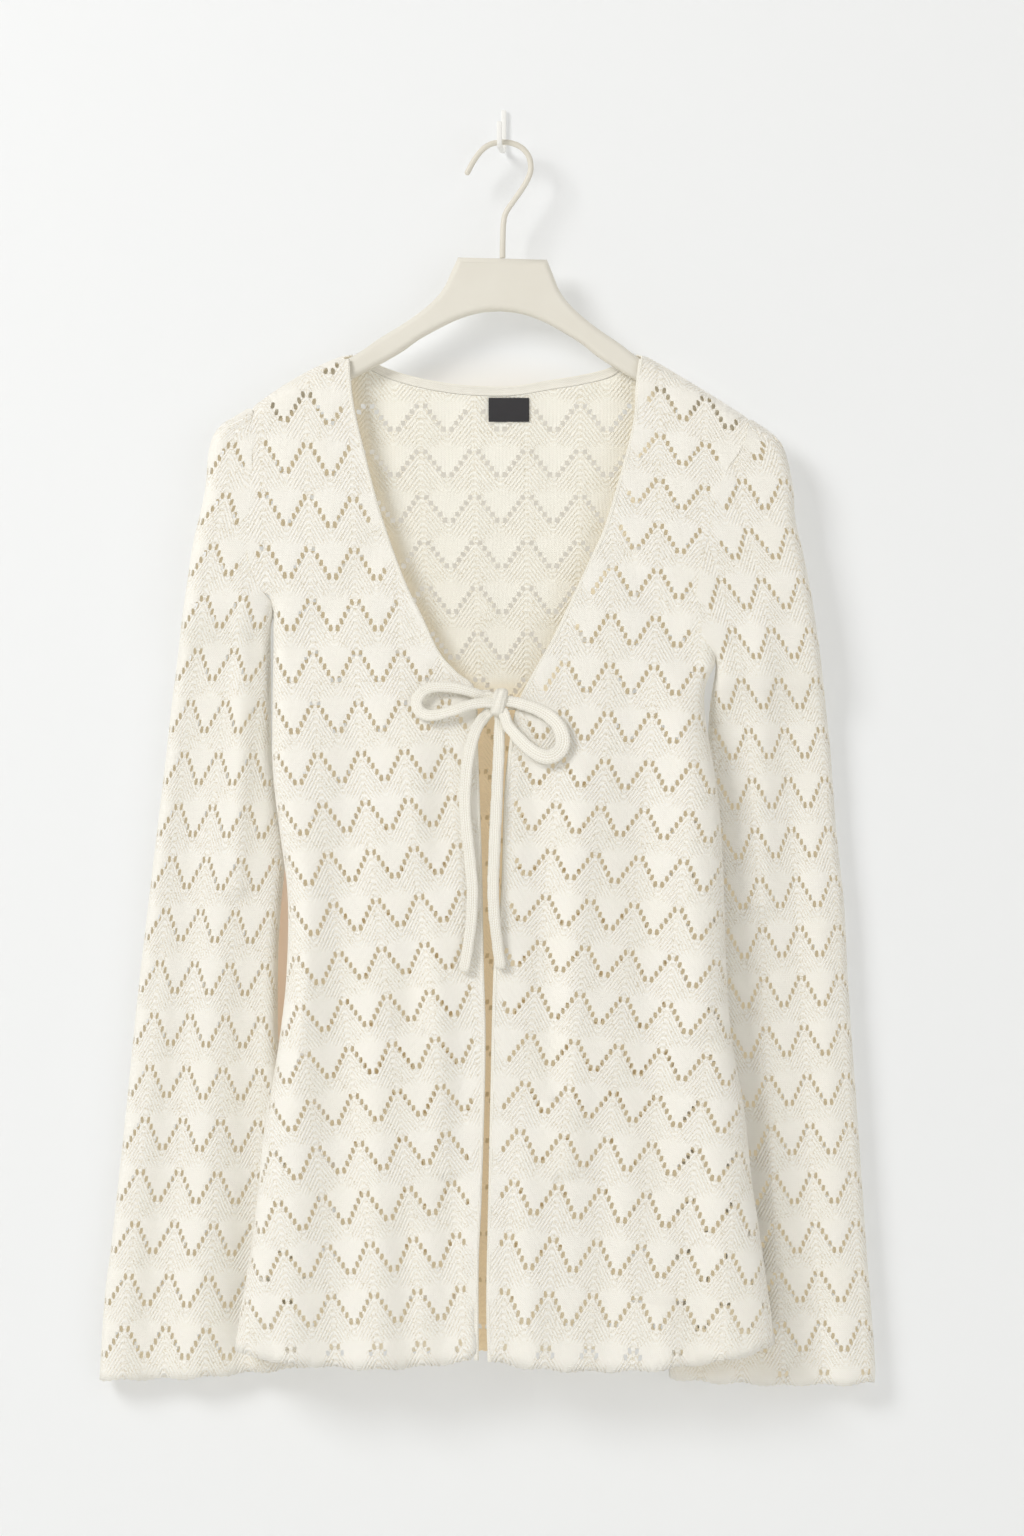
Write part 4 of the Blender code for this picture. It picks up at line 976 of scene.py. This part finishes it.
data = bpy.data.meshes.new_from_object(shape.evaluated_get(bpy.context.evaluated_depsgraph_get()))
bpy.data.objects.remove(shape)
bm = bmesh.new()
bm.from_mesh(data)
bpy.data.meshes.remove(data)
bmesh.ops.remove_doubles(bm, verts=bm.verts, dist=0.00002)
upright = Matrix.Rotation(radians(hanger["tilt"]), 4, "Y") @ Matrix.Rotation(radians(90), 4, "X")
pivot = Vector((hanger["x"], hanger["y"], level)) * mm
bmesh.ops.transform(bm, matrix=Matrix.Translation(pivot) @ upright, verts=bm.verts)
bmesh.ops.recalc_face_normals(bm, faces=bm.faces)
piece = finishPiece("hanger_body_painted", bm, [paintHanger])
for polygon in piece.data.polygons:
    polygon.use_smooth = abs(polygon.normal.y) < 0.999  # the two faces stay flat
standFor(piece, "hanger_body")

wire = smoothLine([(x, hanger["y"], z) for x, z in hanger["line"]], 8) * mm
tip, last = hanger["tip"], len(wire) - 1
ahead = (wire[-1] - wire[-2]) / np.linalg.norm(wire[-1] - wire[-2]) * tip["step"] * mm
places = list(wire) + [wire[-1] + ahead * k for k in range(1, tip["rings"] + 1)]
piece, curve, spline = polyCurve("hanger_wire_painted", places, "3D", hanger["wire"] / 2 * mm, 6)
curve.use_fill_caps = True
for k, point in enumerate(spline.points):
    point.radius = sqrt(max(0.02, 1 - (max(0, k - last) / tip["length"]) ** 2))
curve.materials.append(paintWire)
standFor(piece, "hanger_wire")

hook = {"thick": 2.4, "width": 3.2, "lean": 0.1, "round": 0.5,
        "line": [(-1.2, 15.6), (-1.2, 4), (-1.2, -7), (-2.6, -10.8), (-6.4, -12.8), (-24, -12.8),
                 (-28.4, -11.4), (-30.6, -7.4), (-31, 3.4)]}
line = smoothLine(hook["line"], 6)
faces = [offsetLine(line, by * hook["thick"] / 2) for by in (-1, 1)]
bm = bmesh.new()
bmesh.ops.create_grid(bm, x_segments=1, y_segments=len(line) - 1, size=0.5)
for vert in bm.verts:
    k = round((vert.co.y + 0.5) * (len(line) - 1))
    y, z = faces[int(vert.co.x > 0)][k]
    vert.co = Vector((-hook["width"] / 2, min(y, 0.0), z)) * mm
whole = bmesh.ops.extrude_face_region(bm, geom=bm.faces[:])["geom"]
bmesh.ops.translate(bm, vec=(hook["width"] * mm, 0, 0),
                    verts=[v for v in whole if isinstance(v, bmesh.types.BMVert)])
for vert in bm.verts:
    vert.co.x += vert.co.y * hook["lean"]
bmesh.ops.recalc_face_normals(bm, faces=bm.faces)
piece = finishPiece("wall_hook_painted", bm, [paintWhite])
edges = piece.modifiers.new("Round", "BEVEL")
edges.width, edges.segments, edges.limit_method = hook["round"] * mm, 3, "ANGLE"
standFor(piece, "wall_hook")

print("stage, light and camera")
stage = {
    "wall": "#D1D3D5", "lift": "#FEFEFC", "lifted": 0.21, "floor": "#EDEDEB", "wallY": 0.0012,
    "floorZ": -1.25, "half": 4.0,
    # painted reflected light and shade: where the wall is seen only between cream folds, or through eyelets,
    # it is painted with the warm colour of light bounced off the cloth and of its shade: middle and half
    # size in x and z, softness of its edge, share, painted wall colour and painted glow colour
    "paintedReflections": [
        {"at": (-0.15, -0.55), "size": (0.0143, 0.1), "edge": 0.25, "share": 1.0, "wall": "#D1D3D5",
         "lift": "#FFB45A"},
        {"at": (-0.005, -0.586), "size": (0.135, 0.222), "edge": 0.14, "share": 1.0, "wall": "#C6B595",
         "lift": "#BFA981"},
        {"at": (-0.005, -0.27), "size": (0.13, 0.125), "edge": 0.2, "share": 0.16, "wall": "#DCC598",
         "lift": "#D9BB80"}],
}
# one-sided, so that the back can be looked at
wallPaint, tree, shader = newMaterial("white wall, painted reflections and glow", {"Roughness": 0.9})
place = addNode(tree, "TexCoord", {}, "Object")
tones = {"wall": srgb(stage["wall"]), "lift": srgb(stage["lift"])}
for patch in stage["paintedReflections"]:
    scale = (1 / patch["size"][0], 1 / patch["size"][0], 1 / patch["size"][1])
    moved = addNode(tree, "Mapping", {"Vector": place, "Scale": scale, "Location": (
        -patch["at"][0] * scale[0], 0, -patch["at"][1] * scale[2])})
    ball = addNode(tree, "TexGradient", {0: moved}, gradient_type="SPHERICAL")
    share = addNode(tree, "MapRange", {0: ball, 2: patch["edge"], 4: patch["share"]})
    for what in tones:
        tones[what] = addNode(tree, "Mix", {0: share, 6: tones[what], 7: srgb(patch[what])}, 2,
                              data_type="RGBA")
# painted glow: the emission keeps the wall light in shadow
setInputs(shader, {"Base Color": tones["wall"], "Emission Color": tones["lift"],
                   "Emission Strength": stage["lifted"]})
behind = addNode(tree, "NewGeometry", {}, "Backfacing")
clear = addNode(tree, "BsdfTransparent", {})
mixed = addNode(tree, "MixShader", {0: behind, 1: shader.outputs[0], 2: clear})
setInputs(tree.nodes["Material Output"], {"Surface": mixed})
floorPaint = newMaterial("pale floor", {"Base Color": srgb(stage["floor"]), "Roughness": 0.85})[0]
for name, paint in (("wall", wallPaint), ("floor", floorPaint)):
    bm = bmesh.new()
    bmesh.ops.create_grid(bm, x_segments=1, y_segments=1, size=stage["half"])
    place = (0, 0, stage["floorZ"])
    if name == "wall":
        bmesh.ops.rotate(bm, matrix=Matrix.Rotation(radians(90), 3, "X"), verts=bm.verts)
        place = (0, stage["wallY"], stage["floorZ"] + stage["half"])
    bmesh.ops.translate(bm, vec=place, verts=bm.verts)
    plane = finishPiece(name, bm, [paint], smooth=False)
    plane.visible_shadow = name == "floor"  # the light behind the wall reaches the back

lights = {
    "key": {"at": (-1.9, -2.1, 1.1), "to": (0, 0, -0.42), "size": 1.1, "watts": 52,
            "colour": (0.99, 0.99, 0.985)},
    "fill": {"at": (1.9, -2.6, -0.2), "to": (0, 0, -0.45), "size": 2.4, "watts": 17,
             "colour": (0.97, 0.985, 1.0)},
    "behind": {"at": (0.6, 2.2, 0.8), "to": (0, 0, -0.45), "size": 2.0, "watts": 28,
               "colour": (1.0, 1.0, 1.0)},
}
for name, lamp in lights.items():
    data = bpy.data.lights.new(name, "AREA")
    data.size, data.energy, data.color = lamp["size"], lamp["watts"], lamp["colour"]
    obj = bpy.data.objects.new(name, data)
    obj.location = lamp["at"]
    obj.rotation_euler = (Vector(lamp["to"]) - Vector(lamp["at"])).to_track_quat("-Z", "Y").to_euler()
    bpy.context.scene.collection.objects.link(obj)
world = bpy.data.worlds.new("studio")  # even, slightly warm light of the room
world.use_nodes = True
setInputs(world.node_tree.nodes["Background"], {"Color": (1.0, 0.955, 0.89, 1), "Strength": 0.48})
bpy.context.scene.world = world
bpy.context.scene.view_settings.view_transform = "Standard"

view = {"at": (0.0053, -2.636, -0.4244), "lens": 92.3, "sensor": 36.0}
camera = bpy.data.objects.new("camera", bpy.data.cameras.new("camera"))
camera.data.lens, camera.data.sensor_width = view["lens"], view["sensor"]
camera.location = view["at"]
camera.rotation_euler = (radians(90), 0, 0)
bpy.context.scene.collection.objects.link(camera)
bpy.context.scene.camera = camera
